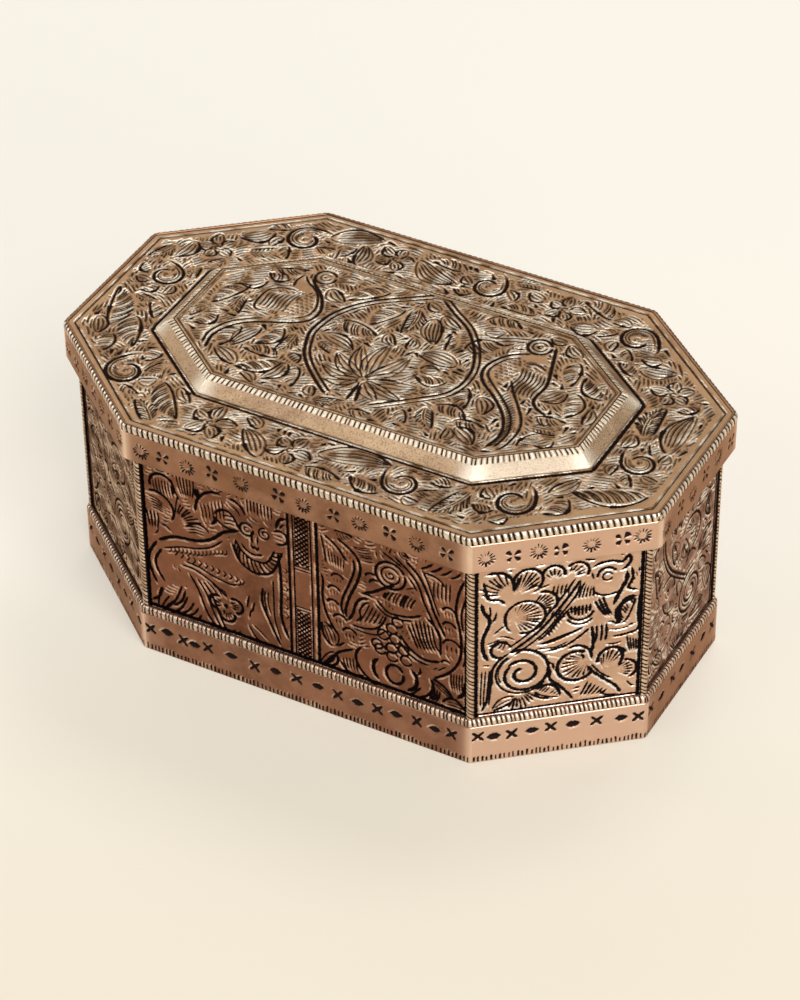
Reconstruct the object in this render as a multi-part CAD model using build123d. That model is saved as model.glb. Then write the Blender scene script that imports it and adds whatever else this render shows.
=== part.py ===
"""A chased copper sweet box: a long eight-sided body on a plinth, with a flat overhanging lid on two hinges.

Lengths are in millimetres and angles in degrees. The origin is the middle of the foot on the table.
+X runs along the box, -Y is the front and +Z is up. Every outline is the lid's outline, moved in by an inset.
"""
from build123d import *
import os
from math import cos, radians, sin

# ---- Lid outline: a rectangle with its corners cut off ----
lid_length = 200.0
lid_width = 124.0
lid_cut_along = 43.0        # what each cut takes from a long side
lid_cut_across = 35.5       # what each cut takes from an end

# ---- Heights above the table ----
lid_height = 87.5           # upper face of the lid plate
skirt_depth = 12.4          # from that face down to the lower edge of the skirt
plinth_height = 16.6        # top of the plinth's milled wire

# ---- Copper sheet and wire ----
wall_sheet = 1.0
lid_sheet = 1.0
skirt_sheet = 1.0
base_sheet = 1.2
base_recess = 1.6           # from the table up to the base plate
overhang = 4.2              # from the body wall out to the skirt's outer face
plinth_step = 1.8           # how far the plinth stands out from the wall
plinth_wire_height = 2.6
lid_wire_width = 2.3
lid_wire_depth = 2.4        # how far the wire reaches below the plate's upper face
lid_wire_rise = 0.3         # how far it stands above that face
wire_round = 1.2            # rounding of both wires' outer upper edge
lid_wire_inner_round = 0.25

# ---- Beads up the corners of the body ----
bead_radius = 1.6
bead_rise = 1.0             # how far a bead stands out from the corner
bead_top_gap = 4.0          # from a bead's top up to the rim of the body

# ---- Raised panel on the lid ----
panel_length = 146.0
panel_width = 77.0
panel_cut_along = 27.5
panel_cut_across = 21.5
panel_rise = 4.4
panel_slope = 4.4           # how far the sloping sides lean in over that rise
panel_sheet = 1.0
panel_edge_round = 0.6

# ---- Hinges ----
hinge_length = 24.0
hinge_corner_gap = 10.0     # from a hinge's end to the lid's corner at the end of the back side
knuckle_radius = 2.0
knuckle_gap = 0.2           # around a knuckle, and between one knuckle and the next
lid_knuckle_share = 0.36    # of the hinge's length
pin_radius = 1.0
pin_clearance = 0.05
pin_head_radius = 1.6
pin_head_length = 0.6
leaf_sheet = 0.8
leaf_top_gap = 0.4          # from a leaf's top up to the lid wire
notch_clearance = 0.4       # between a hinge and the notch in the skirt
open_angle = 100.0
stop_clearance = 0.15       # left between the skirt and the beads at that angle

# ---- Rivets ----
rivet_radius = 0.9
rivet_clearance = 0.02
rivet_head_radius = 1.8
rivet_head_height = 0.8
rivet_tail_radius = 1.4
rivet_tail_height = 0.3
rivet_spacing = 15.0

# ---- Places that follow from the sizes above ----
lid_underside = lid_height - lid_sheet
skirt_bottom = lid_height - skirt_depth
wire_bottom = lid_height - lid_wire_depth
plinth_wire_bottom = plinth_height - plinth_wire_height
bead_top = lid_underside - bead_top_gap
wall_inset = overhang
wall_inner_inset = overhang + wall_sheet
plinth_inset = overhang - plinth_step
back_wall = lid_width / 2 - wall_inset
back_wall_inside = back_wall - wall_sheet
skirt_inside = lid_width / 2 - skirt_sheet
hinge_y = back_wall + knuckle_gap + knuckle_radius

# The skirt's lower edge swings in below the pin and meets the beads at open_angle, which stops the lid.
skirt_from_pin = skirt_inside - hinge_y
bead_from_pin = hinge_y - back_wall - bead_rise - stop_clearance
stop_drop = (bead_from_pin + skirt_from_pin * cos(radians(open_angle))) / sin(radians(open_angle))
hinge_z = skirt_bottom + stop_drop
leaf_bottom = hinge_z + knuckle_radius + knuckle_gap
leaf_top = wire_bottom - leaf_top_gap
rivet_z = (leaf_bottom + leaf_top) / 2
barrel_half = hinge_length / 2 + pin_head_length
hinge_x = lid_length / 2 - lid_cut_along - hinge_corner_gap - hinge_length / 2


def octagon(length, width, cut_along, cut_across):
    """A rectangle with its four corners cut off."""
    x, y = length / 2, width / 2
    corners = [
        (x, y - cut_across), (x - cut_along, y), (-x + cut_along, y), (-x, y - cut_across),
        (-x, -y + cut_across), (-x + cut_along, -y), (x - cut_along, -y), (x, -y + cut_across),
    ]
    return Polygon(*corners, align=None)


def inset(outline, distance):
    """The outline moved in by the same distance on all eight sides."""
    return offset(outline, -distance, kind=Kind.INTERSECTION) if distance else outline


def band(outline, outer_inset, inner_inset, bottom, top):
    """An eight-sided ring between two insets of an outline."""
    section = inset(outline, outer_inset) - inset(outline, inner_inset)
    return Pos(0, 0, bottom) * extrude(section, top - bottom)


def plate(outline, edge_inset, bottom, top):
    """An eight-sided plate."""
    return Pos(0, 0, bottom) * extrude(inset(outline, edge_inset), top - bottom)


def top_edges(solid, outline, edge_inset):
    """The edges of a solid's highest face that lie on one inset of an outline."""
    reach = inset(outline, edge_inset).bounding_box().max.X
    loops = [solid.faces().sort_by(Axis.Z)[-1].outer_wire(), *solid.faces().sort_by(Axis.Z)[-1].inner_wires()]
    return min(loops, key=lambda loop: abs(loop.bounding_box().max.X - reach)).edges()


lid_outline = octagon(lid_length, lid_width, lid_cut_along, lid_cut_across)
panel_outline = octagon(panel_length, panel_width, panel_cut_along, panel_cut_across)


# ---- Body ----
def make_body_wall():
    """The bent sheet that forms all eight sides, from the table to the rim."""
    wall = band(lid_outline, wall_inset, wall_inner_inset, 0, lid_underside)
    return wall - rivet_holes(back_wall_inside, back_wall)


def make_base_plate():
    """The bottom sheet, soldered in a little above the table."""
    return plate(lid_outline, wall_inner_inset, base_recess, base_recess + base_sheet)


def make_plinth_band():
    return band(lid_outline, plinth_inset, wall_inset, 0, plinth_wire_bottom)


def make_plinth_wire():
    """The wire round the top of the plinth."""
    wire = band(lid_outline, plinth_inset, wall_inset, plinth_wire_bottom, plinth_height)
    return fillet(top_edges(wire, lid_outline, plinth_inset), wire_round)


def make_corner_beads():
    """A round bead hugging each corner of the body, from the plinth up under the skirt."""
    wall_outline = inset(lid_outline, wall_inset)
    core = plate(lid_outline, wall_inset, 0, lid_height)
    corners = sorted(wall_outline.vertices(), key=lambda v: Vector(v).get_signed_angle(Vector(0, -1, 0)))
    beads = []
    for corner in corners:
        sides = wall_outline.edges().filter_by(lambda e: corner in e.vertices())
        inward = sum((Vector(e.center()) - Vector(corner)).normalized() for e in sides)
        centre = Vector(corner) + inward.normalized() * (bead_radius - bead_rise)
        rod = Pos(centre.X, centre.Y, plinth_height) * extrude(Circle(bead_radius), bead_top - plinth_height)
        beads.append(rod - core)
    return beads


# ---- Lid ----
def make_lid_plate():
    return plate(lid_outline, lid_wire_width, lid_underside, lid_height)


def make_lid_wire():
    """The wire round the edge of the lid."""
    wire = band(lid_outline, 0, lid_wire_width, wire_bottom, lid_height + lid_wire_rise)
    wire = fillet(top_edges(wire, lid_outline, 0), wire_round)
    return fillet(top_edges(wire, lid_outline, lid_wire_width), lid_wire_inner_round)


def make_lid_skirt():
    """The turned-down band, notched at the back for the hinges."""
    skirt = band(lid_outline, 0, skirt_sheet, skirt_bottom, wire_bottom)
    notch_top = hinge_z + knuckle_radius + notch_clearance
    for x in hinge_places():
        notch = Box(2 * (barrel_half + notch_clearance), overhang, 2 * (notch_top - skirt_bottom))
        skirt -= Pos(x, skirt_inside + overhang / 2, skirt_bottom) * notch
    return skirt - rivet_holes(skirt_inside, lid_width / 2)


def make_raised_panel():
    """A shallow tray, turned over and soldered down on the lid plate."""
    def sloped(edge_inset, rise, slope):
        foot = inset(panel_outline, edge_inset)
        return loft([foot, Pos(0, 0, rise) * inset(panel_outline, edge_inset + slope)], ruled=True)

    hollow_rise = panel_rise - panel_sheet
    hollow_slope = panel_slope * hollow_rise / panel_rise
    shell = sloped(0, panel_rise, panel_slope)
    shell = fillet(shell.faces().sort_by(Axis.Z)[-1].edges(), panel_edge_round)
    shell -= sloped(panel_sheet * 2 ** 0.5, hollow_rise, hollow_slope)
    return Pos(0, 0, lid_height) * shell


# ---- Hinges: each leaf stands in the gap between the wall and the skirt ----
def hinge_places():
    return [-hinge_x, hinge_x]


def lying_rod(radius, x_start, x_end):
    """A rod along the hinge's axis."""
    return Pos(x_start, hinge_y, hinge_z) * Rot(0, 90, 0) * extrude(Circle(radius), x_end - x_start)


def block(x_start, x_end, y_start, y_end, z_start, z_end):
    size = Box(x_end - x_start, y_end - y_start, z_end - z_start)
    return Pos((x_start + x_end) / 2, (y_start + y_end) / 2, (z_start + z_end) / 2) * size


def make_leaf(x, leaf_y, knuckles):
    """A leaf with its knuckles: leaf_y is the leaf's face nearest the body."""
    leaf = block(x - hinge_length / 2, x + hinge_length / 2, leaf_y, leaf_y + leaf_sheet, leaf_bottom, leaf_top)
    for start, end in knuckles:
        leaf += block(x + start, x + end, leaf_y, leaf_y + leaf_sheet, hinge_z, leaf_bottom)
        leaf += lying_rod(knuckle_radius, x + start, x + end)
    leaf -= lying_rod(pin_radius + pin_clearance, x - hinge_length, x + hinge_length)
    return leaf - rivet_holes(leaf_y, leaf_y + leaf_sheet)


def make_hinge(x):
    """Body leaf, lid leaf and pin of the hinge centred at x."""
    lid_knuckle = hinge_length * lid_knuckle_share / 2
    end = hinge_length / 2
    body_knuckles = [(-end, -lid_knuckle - knuckle_gap), (lid_knuckle + knuckle_gap, end)]
    body_leaf = make_leaf(x, back_wall, body_knuckles)
    lid_leaf = make_leaf(x, skirt_inside - leaf_sheet, [(-lid_knuckle, lid_knuckle)])
    pin = lying_rod(pin_radius, x - barrel_half, x + barrel_half)
    pin += lying_rod(pin_head_radius, x - barrel_half, x - end)
    pin += lying_rod(pin_head_radius, x + end, x + barrel_half)
    return {"body_leaf": body_leaf, "lid_leaf": lid_leaf, "pin": pin}


# ---- Rivets ----
def rivet_places(x):
    return [x - rivet_spacing / 2, x + rivet_spacing / 2]


def rivet_holes(y_start, y_end):
    """Clearance holes for every rivet, through a sheet between two Y positions."""
    hole = Circle(rivet_radius + rivet_clearance)
    places = [place for x in hinge_places() for place in rivet_places(x)]
    return [Pos(place, y_start, rivet_z) * Rot(-90, 0, 0) * extrude(hole, y_end - y_start) for place in places]


def dome(radius, height):
    """A low round head on the XY plane, cut from a ball."""
    ball_radius = (radius ** 2 + height ** 2) / (2 * height)
    ball = Pos(0, 0, height - ball_radius) * Sphere(ball_radius)
    return ball & Pos(0, 0, height / 2) * Box(2 * radius, 2 * radius, height)


def make_rivet(x, head_y, tail_y):
    """A rivet from its round head at head_y to its flattened tail at tail_y."""
    toward_head = Rot(-90, 0, 0) if head_y > tail_y else Rot(90, 0, 0)
    toward_tail = Rot(90, 0, 0) if head_y > tail_y else Rot(-90, 0, 0)
    shank = Pos(x, head_y, rivet_z) * toward_tail * extrude(Circle(rivet_radius), abs(head_y - tail_y))
    head = Pos(x, head_y, rivet_z) * toward_head * dome(rivet_head_radius, rivet_head_height)
    tail = Pos(x, tail_y, rivet_z) * toward_tail * dome(rivet_tail_radius, rivet_tail_height)
    return shank + head + tail


# ---- All pieces, by name ----
nodes = {
    "body_wall": make_body_wall(),
    "base_plate": make_base_plate(),
    "plinth_band": make_plinth_band(),
    "plinth_wire": make_plinth_wire(),
    "lid_plate": make_lid_plate(),
    "lid_wire": make_lid_wire(),
    "lid_skirt": make_lid_skirt(),
    "raised_panel": make_raised_panel(),
}
for number, bead in enumerate(make_corner_beads(), start=1):
    nodes[f"corner_bead_{number}"] = bead
for side, x in zip(("left", "right"), hinge_places()):
    for piece, solid in make_hinge(x).items():
        nodes[f"hinge_{side}_{piece}"] = solid
    body_rivets = [make_rivet(place, back_wall_inside, back_wall + leaf_sheet) for place in rivet_places(x)]
    lid_rivets = [make_rivet(place, lid_width / 2, skirt_inside - leaf_sheet) for place in rivet_places(x)]
    nodes[f"hinge_{side}_body_rivets"] = Compound(children=body_rivets)
    nodes[f"hinge_{side}_lid_rivets"] = Compound(children=lid_rivets)

os.makedirs("parts", exist_ok=True)
for name, shape in nodes.items():
    export_step(shape, f"parts/{name}.step")
print("hinge axis at y", round(hinge_y, 3), "z", round(hinge_z, 3), "leaf", round(leaf_bottom, 2), round(leaf_top, 2))
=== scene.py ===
import math
import random

import bmesh
import bpy
import numpy as np
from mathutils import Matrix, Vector


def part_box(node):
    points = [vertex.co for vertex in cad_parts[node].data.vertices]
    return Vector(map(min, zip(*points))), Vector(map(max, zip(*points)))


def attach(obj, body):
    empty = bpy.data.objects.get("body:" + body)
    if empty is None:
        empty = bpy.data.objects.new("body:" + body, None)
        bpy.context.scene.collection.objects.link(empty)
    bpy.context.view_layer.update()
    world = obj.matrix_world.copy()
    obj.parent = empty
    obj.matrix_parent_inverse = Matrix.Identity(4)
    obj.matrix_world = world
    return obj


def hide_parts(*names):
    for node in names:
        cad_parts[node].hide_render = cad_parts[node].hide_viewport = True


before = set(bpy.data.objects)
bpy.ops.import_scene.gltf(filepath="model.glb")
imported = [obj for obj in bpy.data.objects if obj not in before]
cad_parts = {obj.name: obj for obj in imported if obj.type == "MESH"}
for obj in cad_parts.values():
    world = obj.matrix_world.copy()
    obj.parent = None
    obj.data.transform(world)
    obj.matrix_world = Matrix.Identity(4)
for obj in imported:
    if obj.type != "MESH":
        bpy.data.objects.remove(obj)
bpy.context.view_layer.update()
mm = 0.001
burrHeight = 0.09

# Plan outlines: half sizes and the two cuts of each corner, in mm.
lidPlan = {"halfLength": 100.0, "halfWidth": 62.0, "cutAlong": 43.0, "cutAcross": 35.5}
panelPlan = {"halfLength": 73.0, "halfWidth": 38.5, "cutAlong": 27.5, "cutAcross": 21.5}


def slantOf(plan):
    # the slanted corner's outward direction and its distance from the middle
    slant = math.hypot(plan["cutAlong"], plan["cutAcross"])
    nx = plan["cutAcross"] / slant
    ny = plan["cutAlong"] / slant
    return nx, ny, nx * plan["halfLength"] + ny * (plan["halfWidth"] - plan["cutAcross"])


def corners(plan, inset):
    nx, ny, reach = slantOf(plan)
    hx = plan["halfLength"] - inset
    hy = plan["halfWidth"] - inset
    cx = (reach - inset - ny * hy) / nx
    cy = (reach - inset - nx * hx) / ny
    ring = [(-cx, -hy), (cx, -hy), (hx, -cy), (hx, cy), (cx, hy), (-cx, hy), (-hx, cy), (-hx, -cy)]
    return [np.array(p) for p in ring]


def insideOctagon(plan, inset, u, v):
    nx, ny, reach = slantOf(plan)
    return (abs(u) < plan["halfLength"] - inset and abs(v) < plan["halfWidth"] - inset
            and nx * abs(u) + ny * abs(v) < reach - inset)


def sideFrame(plan, inset, side):
    # a side's middle, its direction, its outward direction and its length
    ring = corners(plan, inset)
    a = ring[side]
    b = ring[(side + 1) % 8]
    length = float(np.hypot(*(b - a)))
    along = (b - a) / length
    return (a + b) / 2, along, np.array([along[1], -along[0]]), length


# Drawing of the engraving: a plate holds groove depths and raised burrs on a fine lattice in mm.
def flow(points, step=0.7):
    pts = [np.array(p, float) for p in points]
    if len(pts) < 3:
        return np.array(pts)
    ext = [2 * pts[0] - pts[1]] + pts + [2 * pts[-1] - pts[-2]]
    out = []
    for i in range(1, len(ext) - 2):
        p0, p1, p2, p3 = ext[i - 1:i + 3]
        n = max(2, int(np.hypot(*(p2 - p1)) / step))
        for k in range(n):
            t = k / n
            out.append(0.5 * (2 * p1 + (p2 - p0) * t + (2 * p0 - 5 * p1 + 4 * p2 - p3) * t * t
                              + (3 * p1 - p0 - 3 * p2 + p3) * t ** 3))
    out.append(pts[-1])
    return np.array(out)


def offsetLine(points, gap):
    pts = np.array(points, float)
    run = np.gradient(pts, axis=0)
    run /= np.maximum(np.hypot(run[:, 0], run[:, 1]), 1e-6)[:, None]
    return pts + gap * np.stack([-run[:, 1], run[:, 0]], 1)


def soft(a):
    # one pass of a small blur, down the columns and then along the rows
    b = a * 0.5
    b[1:-1] = a[1:-1] * 0.5 + (a[:-2] + a[2:]) * 0.25
    b[0] = a[0]
    b[-1] = a[-1]
    c = b.copy()
    c[:, 1:-1] = b[:, 1:-1] * 0.5 + (b[:, :-2] + b[:, 2:]) * 0.25
    return c


class Plate:
    def __init__(self, u0, u1, v0, v1, seed, grain=0.14):
        self.low = (u0, v0)
        self.high = (u1, v1)
        self.grain = grain
        size = (int((v1 - v0) / grain) + 2, int((u1 - u0) / grain) + 2)
        self.deep, self.lip, self.dome = (np.zeros(size, np.float32) for _ in range(3))
        self.kept = np.zeros(size, bool)
        self.pick = random.Random(seed)
        self.seed = seed
        self.phase = self.pick.uniform(0, 6)
        self.style(bold=1.0, steep=0.0, hatch=0.3, ray=0.66, pitch=1.05, wriggle=0.14, accent=0.0,
                   course=None)

    def style(self, **values):
        # bold: width of every cut; steep: blackness of wide cuts; hatch: depth of fine strokes;
        # ray: width of a shell's rays; pitch: from stroke to stroke; accent: share of leaves with a dark edge
        vars(self).update(values)

    def window(self, lo, hi):
        c0, r0 = (max(0, int((lo[k] - self.low[k]) / self.grain)) for k in (0, 1))
        c1, r1 = (min(self.deep.shape[1 - k], int((hi[k] - self.low[k]) / self.grain) + 2) for k in (0, 1))
        x = self.low[0] + self.grain * np.arange(c0, c1)[None, :]
        y = self.low[1] + self.grain * np.arange(r0, r1)[:, None]
        return (slice(r0, r1), slice(c0, c1)), x, y

    def cut(self, points, width=0.9, depth=0.34, ends=(1.2, 1.2)):
        pts = np.array(points, float)
        seg = np.hypot(*(pts[1:] - pts[:-1]).T)
        total = float(seg.sum())
        if total < 0.05:
            return
        wander = self.pick.uniform(0.9, 1.12) * self.bold
        turn = self.pick.uniform(0, 6)
        steep = 1.2 * (1 + self.steep * min(1, max(0, (width - 0.82) / 0.3)))
        reach = width * 1.25 * max(1, self.bold)
        at = 0.0
        for a, b, run in zip(pts[:-1], pts[1:], seg):
            cells, x, y = self.window(np.minimum(a, b) - reach, np.maximum(a, b) + reach)
            if x.size and y.size and run > 1e-6:
                x = x - a[0]
                y = y - a[1]
                d = (b - a) / run
                t = np.clip(x * d[0] + y * d[1], 0, run)
                away = np.hypot(x - t * d[0], y - t * d[1])
                place = at + t
                swell = np.clip(0.3 + 0.7 * place / max(ends[0], 0.01), 0, 1)
                swell *= np.clip(0.3 + 0.7 * (total - place) / max(ends[1], 0.01), 0, 1)
                shake = (1 + self.wriggle * np.sin(6.1 * place + turn)
                         + 0.7 * self.wriggle * np.sin(2.3 * place + 2 * turn))
                q = away / (0.5 * width * wander * swell * shake)
                deep = depth * swell * np.clip(steep * (1 - q), 0, 1)
                lip = np.sqrt(swell) * np.exp(-((q - 1.3) / 0.3) ** 2)
                for grid, value in ((self.deep, deep), (self.lip, lip)):
                    np.maximum(grid[cells], value, out=grid[cells])
            at += run

    def keep(self, polygon):
        self.kept |= self.inside(polygon)

    def inside(self, polygon):
        x = self.low[0] + self.grain * np.arange(self.deep.shape[1])[None, :]
        y = self.low[1] + self.grain * np.arange(self.deep.shape[0])[:, None]
        hit = np.zeros(self.deep.shape, bool)
        pts = [tuple(p) for p in polygon]
        for (xa, ya), (xb, yb) in zip(pts, pts[1:] + pts[:1]):
            if abs(yb - ya) > 1e-9:
                hit ^= ((ya > y) != (yb > y)) & (x < (xb - xa) * (y - ya) / (yb - ya) + xa)
        return hit

    def swell(self, spine, half, height):
        # raises a leaf's body: a soft dome across its width
        cells, x, y = self.window(spine.min(0) - half.max(), spine.max(0) + half.max())
        if not (x.size and y.size):
            return
        best = np.zeros((y.size, x.size))
        for (px, py), h in zip(spine, half):
            if h > 0.15:
                dome = (1 - ((x - px) ** 2 + (y - py) ** 2) / (h * h)) * min(1.0, h / 1.6)
                best = np.maximum(best, dome)
        np.maximum(self.dome[cells], height * np.clip(best, 0, 1) ** 0.7, out=self.dome[cells])

    def finish(self, light=(0.6, -0.8)):
        # light: the direction of the painted light; on that side of each groove the wall and the burrs are
        # painted bright as highlight, and the burrs on the far side fade out
        gy, gx = (soft(g) for g in np.gradient(self.deep))
        slope = np.hypot(gx, gy)
        side = (gx * light[0] + gy * light[1]) / np.maximum(slope, 1e-4)
        # painted highlight: the upper groove wall on the side towards the light
        wall = np.clip(slope / 0.06, 0, 1) * np.clip(side, 0, 1) * (self.deep < 0.2)
        towardLight = soft(soft(np.clip(side, -1, 1) * (slope > 0.01)))
        self.lip = soft(self.lip * (self.deep < 0.05))
        # the burrs are kept mostly on the side towards the light, as painted highlight
        burrAndHighlight = 1.3 * self.lip * np.clip(0.22 + 0.95 * towardLight, 0.02, 1.15)
        self.shine = soft(np.clip(burrAndHighlight + 0.85 * wall, 0, 1))
        self.deep = soft(self.deep)
        self.dark = np.clip((self.deep - 0.06) / 0.3, 0, 1)
        self.dome = soft(soft(self.dome))

    def relief(self, u, v):
        deep = self.sample(self.deep, u, v)
        height = burrHeight * self.sample(self.lip, u, v) + self.sample(self.dome, u, v) - deep
        # painted highlight: made stronger in some patches and weaker in others
        paintedGlint = np.clip(0.72 + 1.6 * (waves(u, v, self.seed, 1, (5, 15)) + 1), 0.12, 1.3)
        return height, self.sample(self.dark, u, v), self.sample(self.shine, u, v) * paintedGlint

    def grainAt(self, u, v):
        # the way the leaves and strokes lie here
        if self.course:
            bend = 0.75 * math.sin(u * 0.13 + self.phase)
            return self.course(u, v) + bend + 0.6 * math.cos(v * 0.15 + 2 * self.phase)
        return 2.4 * math.sin(u * 0.09 + self.phase) + 1.9 * math.cos(v * 0.11 + self.phase * 2)

    def sample(self, grid, u, v):
        x = np.clip((u - self.low[0]) / self.grain, 0, grid.shape[1] - 1.001)
        y = np.clip((v - self.low[1]) / self.grain, 0, grid.shape[0] - 1.001)
        i = x.astype(int)
        j = y.astype(int)
        fx = x - i
        fy = y - j
        low = grid[j, i] * (1 - fx) + grid[j, i + 1] * fx
        high = grid[j + 1, i] * (1 - fx) + grid[j + 1, i + 1] * fx
        return low * (1 - fy) + high * fy

    def busy(self, pts):
        i = ((pts[:, 0] - self.low[0]) / self.grain).astype(int)
        j = ((pts[:, 1] - self.low[1]) / self.grain).astype(int)
        out = (i < 0) | (j < 0) | (i >= self.deep.shape[1]) | (j >= self.deep.shape[0])
        i = np.clip(i, 0, self.deep.shape[1] - 1)
        j = np.clip(j, 0, self.deep.shape[0] - 1)
        return out | (self.deep[j, i] > 0.04) | self.kept[j, i]

    def spots(self, tries):
        for _ in range(tries):
            yield self.pick.uniform(self.low[0], self.high[0]), self.pick.uniform(self.low[1], self.high[1])


def stroke(plate, points, width=0.95, depth=0.36, ends=(1.6, 1.6)):
    plate.cut(flow(points), width, depth, ends)


def strokes(plate, *rows):
    # each row: a width, or a width and a depth, then the points one after another as x, y
    for row in rows:
        lead = 2 - len(row) % 2
        stroke(plate, list(zip(row[lead::2], row[lead + 1::2])), *row[:lead])


def comb(plate, count, first, step, *weight):
    # strokes side by side: the first one's x, y, x, y, and how far each number moves on to the next stroke
    for k in range(count):
        row = [a + b * k for a, b in zip(first, step)]
        stroke(plate, list(zip(row[::2], row[1::2])), *weight)


def polar(centre, radius, degrees):
    a = math.radians(degrees)
    return (centre[0] + radius * math.cos(a), centre[1] + radius * math.sin(a))


def arc(plate, centre, radius, a0, a1, width=0.9, depth=0.34, squash=1.0):
    n = max(4, int(abs(a1 - a0) * radius / 50))
    pts = [polar(centre, radius, a0 + (a1 - a0) * k / n) for k in range(n + 1)]
    pts = [(x, centre[1] + (y - centre[1]) * squash) for x, y in pts]
    plate.cut(pts, width, depth, (0.8, 0.8))


def ring(plate, centre, radius, width=0.8, squash=1.0):
    arc(plate, centre, radius, 20, 380, width, 0.34, squash)


def spiral(plate, centre, radius, inner, turns, start, width=0.95):
    n = int(40 * abs(turns))
    path = [polar(centre, radius + (inner - radius) * k / n, start + 360 * turns * k / n)
            for k in range(n + 1)]
    plate.cut(path, width, 0.36, (1.5, 1.0))


def between(plate, first, second, spacing=1.15, width=0.7, trim=(0.12, 0.12), ends=(0.9, 0.9), lean=0.0):
    # short strokes from one line to the other
    a = flow(first, 0.3)
    b = flow(second, 0.3)
    n = max(2, int(np.hypot(*(a[1:] - a[:-1]).T).sum() / spacing))
    for k in range(1, n):
        t = k / n + plate.pick.uniform(-0.12, 0.12) / n
        p = a[int(t * (len(a) - 1))]
        q = b[int(np.clip(t + lean, 0, 1) * (len(b) - 1))]
        middle = (p + q) / 2 + 0.05 * np.array([q[1] - p[1], p[0] - q[0]])
        s = p + (q - p) * trim[0]
        e = q + (p - q) * trim[1]
        plate.cut(flow([s, middle, e]), width * plate.pick.uniform(0.85, 1.15), 0.3, ends)


def shell(plate, eye, centre, radius, a0, a1, marks, inner=0.25, width=0.95, taper=1.2):
    # an arc with rays that run to it from the eye
    arc(plate, centre, radius, a0, a1, width, 0.36)
    for k in range(marks):
        t = (k + 0.5 + plate.pick.uniform(-0.15, 0.15)) / marks
        tip = np.array(polar(centre, radius - 0.75, a0 + (a1 - a0) * t))
        root = np.array(eye, float)
        plate.cut([root + (tip - root) * inner, tip], plate.ray, 0.32 + 0.02 * taper, (taper, 0.7))


def bowed(base, tip, bend, count=None):
    # a line bent sideways: its length, its share from 0 to 1, its points and its sideways direction
    base = np.array(base, float)
    axis = np.array(tip, float) - base
    length = float(np.hypot(*axis))
    side = np.array([-axis[1], axis[0]]) / length
    t = np.linspace(0, 1, count or max(7, int(length / 0.8)))
    return length, t, base + t[:, None] * axis + (bend * length * np.sin(math.pi * t))[:, None] * side, side


def leaf(plate, base, tip, width, bend=0.0, kind="across", weight=0.85, marks=1.15):
    length, t, spine, side = bowed(base, tip, bend)
    last = len(t) - 1
    swell = np.sin(math.pi * t ** 0.85) ** 0.8 * width / 2
    left = spine + swell[:, None] * side
    right = spine - swell[:, None] * side
    plate.swell(spine, swell * 1.05 + 0.01, 0.17)
    plate.cut(left, weight * 1.1, 0.38, (1.0, 1.0))
    if kind != "open":
        plate.cut(right, weight * 0.85, 0.32, (1.0, 1.0))
    thin = weight * 0.8
    if plate.pick.random() < plate.accent:
        plate.cut(left[len(t) // 7:len(t) // 2 + 1], weight * 1.8, 0.48, (length * 0.3, 0.4))
    if kind == "along":
        lines = max(1, int(width / marks) - 1)
        slant = np.linspace(-0.2, 0.2, len(t)) * (1 if bend > 0 else -1)
        for k in range(lines):
            s = (k + 1) / (lines + 1) * 2 - 1
            line = spine + ((s + slant) * swell)[:, None] * side
            cutBack = int(len(t) * (0.12 + 0.1 * abs(s)))
            plate.cut(line[cutBack:len(t) - max(1, cutBack // 2)], thin, plate.hatch, (1.6, 0.8))
    else:
        if kind == "half":
            plate.cut(spine[1:-1], weight, 0.36, (1.0, 1.4))
        dense, sweep = {"half": (1, 5), "open": (1.1, 4), "across": (1, 6)}[kind]
        n = max(2, int(length * dense / marks))
        for k in range(1, n):
            i = int(k / n * last)
            j = min(last, i + max(1, len(t) // sweep))
            if kind == "half":
                for rim in (left, right)[:2 if width > 4 else 1]:
                    plate.cut([spine[i], spine[j] * 0.12 + rim[j] * 0.88], thin, plate.hatch, (0.5, 0.8))
            elif kind == "open":
                a = left[i] * 0.86 + right[i] * 0.14
                b = right[j]
                c = (a + b) / 2 + 0.1 * (b - a)[::-1] * np.array([1, -1])
                plate.cut(flow([a, c, b]), thin * plate.pick.uniform(0.85, 1.2), plate.hatch, (0.8, 0.8))
            else:
                a = right[i] * 0.85 + left[i] * 0.15
                plate.cut([a, right[j] * 0.15 + left[j] * 0.85], thin, plate.hatch, (0.9, 0.7))
    plate.kept |= plate.inside(np.concatenate([left, right[::-1]]))


def flower(plate, centre, radius, petals, turn=0.0):
    for k in range(petals):
        a = turn + 360 / petals * k
        arc(plate, polar(centre, radius * 0.6, a), radius * 0.46, a - 115, a + 115, 0.85)
        for s in (-18, 0, 18):
            vein = [polar(centre, radius * 0.3, a + s), polar(centre, radius * 0.85, a + s * 0.8)]
            plate.cut(vein, 0.6, 0.28, (1, 0.6))
    arc(plate, centre, 0.45, 0, 360, 0.9, 0.4)


def fan(plate, base, a0, a1, r0, r1, marks, width=0.75):
    for k in range(marks):
        a = a0 + (a1 - a0) * (k + plate.pick.uniform(-0.2, 0.2)) / max(1, marks - 1)
        far = r1 * plate.pick.uniform(0.88, 1.08)
        pts = [polar(base, r0, a), polar(base, (r0 + far) / 2, a + 2), polar(base, far, a)]
        plate.cut(flow(pts), width, 0.32, (1.6, 0.7))


def scales(plate, polygon, size=1.5):
    area = np.array(polygon, float)
    lo, hi = area.min(0), area.max(0)
    inside = plate.inside(polygon)
    row = 0
    y = lo[1]
    while y < hi[1]:
        x = lo[0] + (size / 2 if row % 2 else 0)
        while x < hi[0]:
            i = int((x - plate.low[0]) / plate.grain)
            j = int((y - plate.low[1]) / plate.grain)
            if 0 <= j < inside.shape[0] and 0 <= i < inside.shape[1] and inside[j, i]:
                arc(plate, (x, y), size * 0.42, -60, 190, 0.55, 0.3)
            x += size * 1.12
        y += size * 0.95
        row += 1
    plate.kept |= inside


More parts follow.
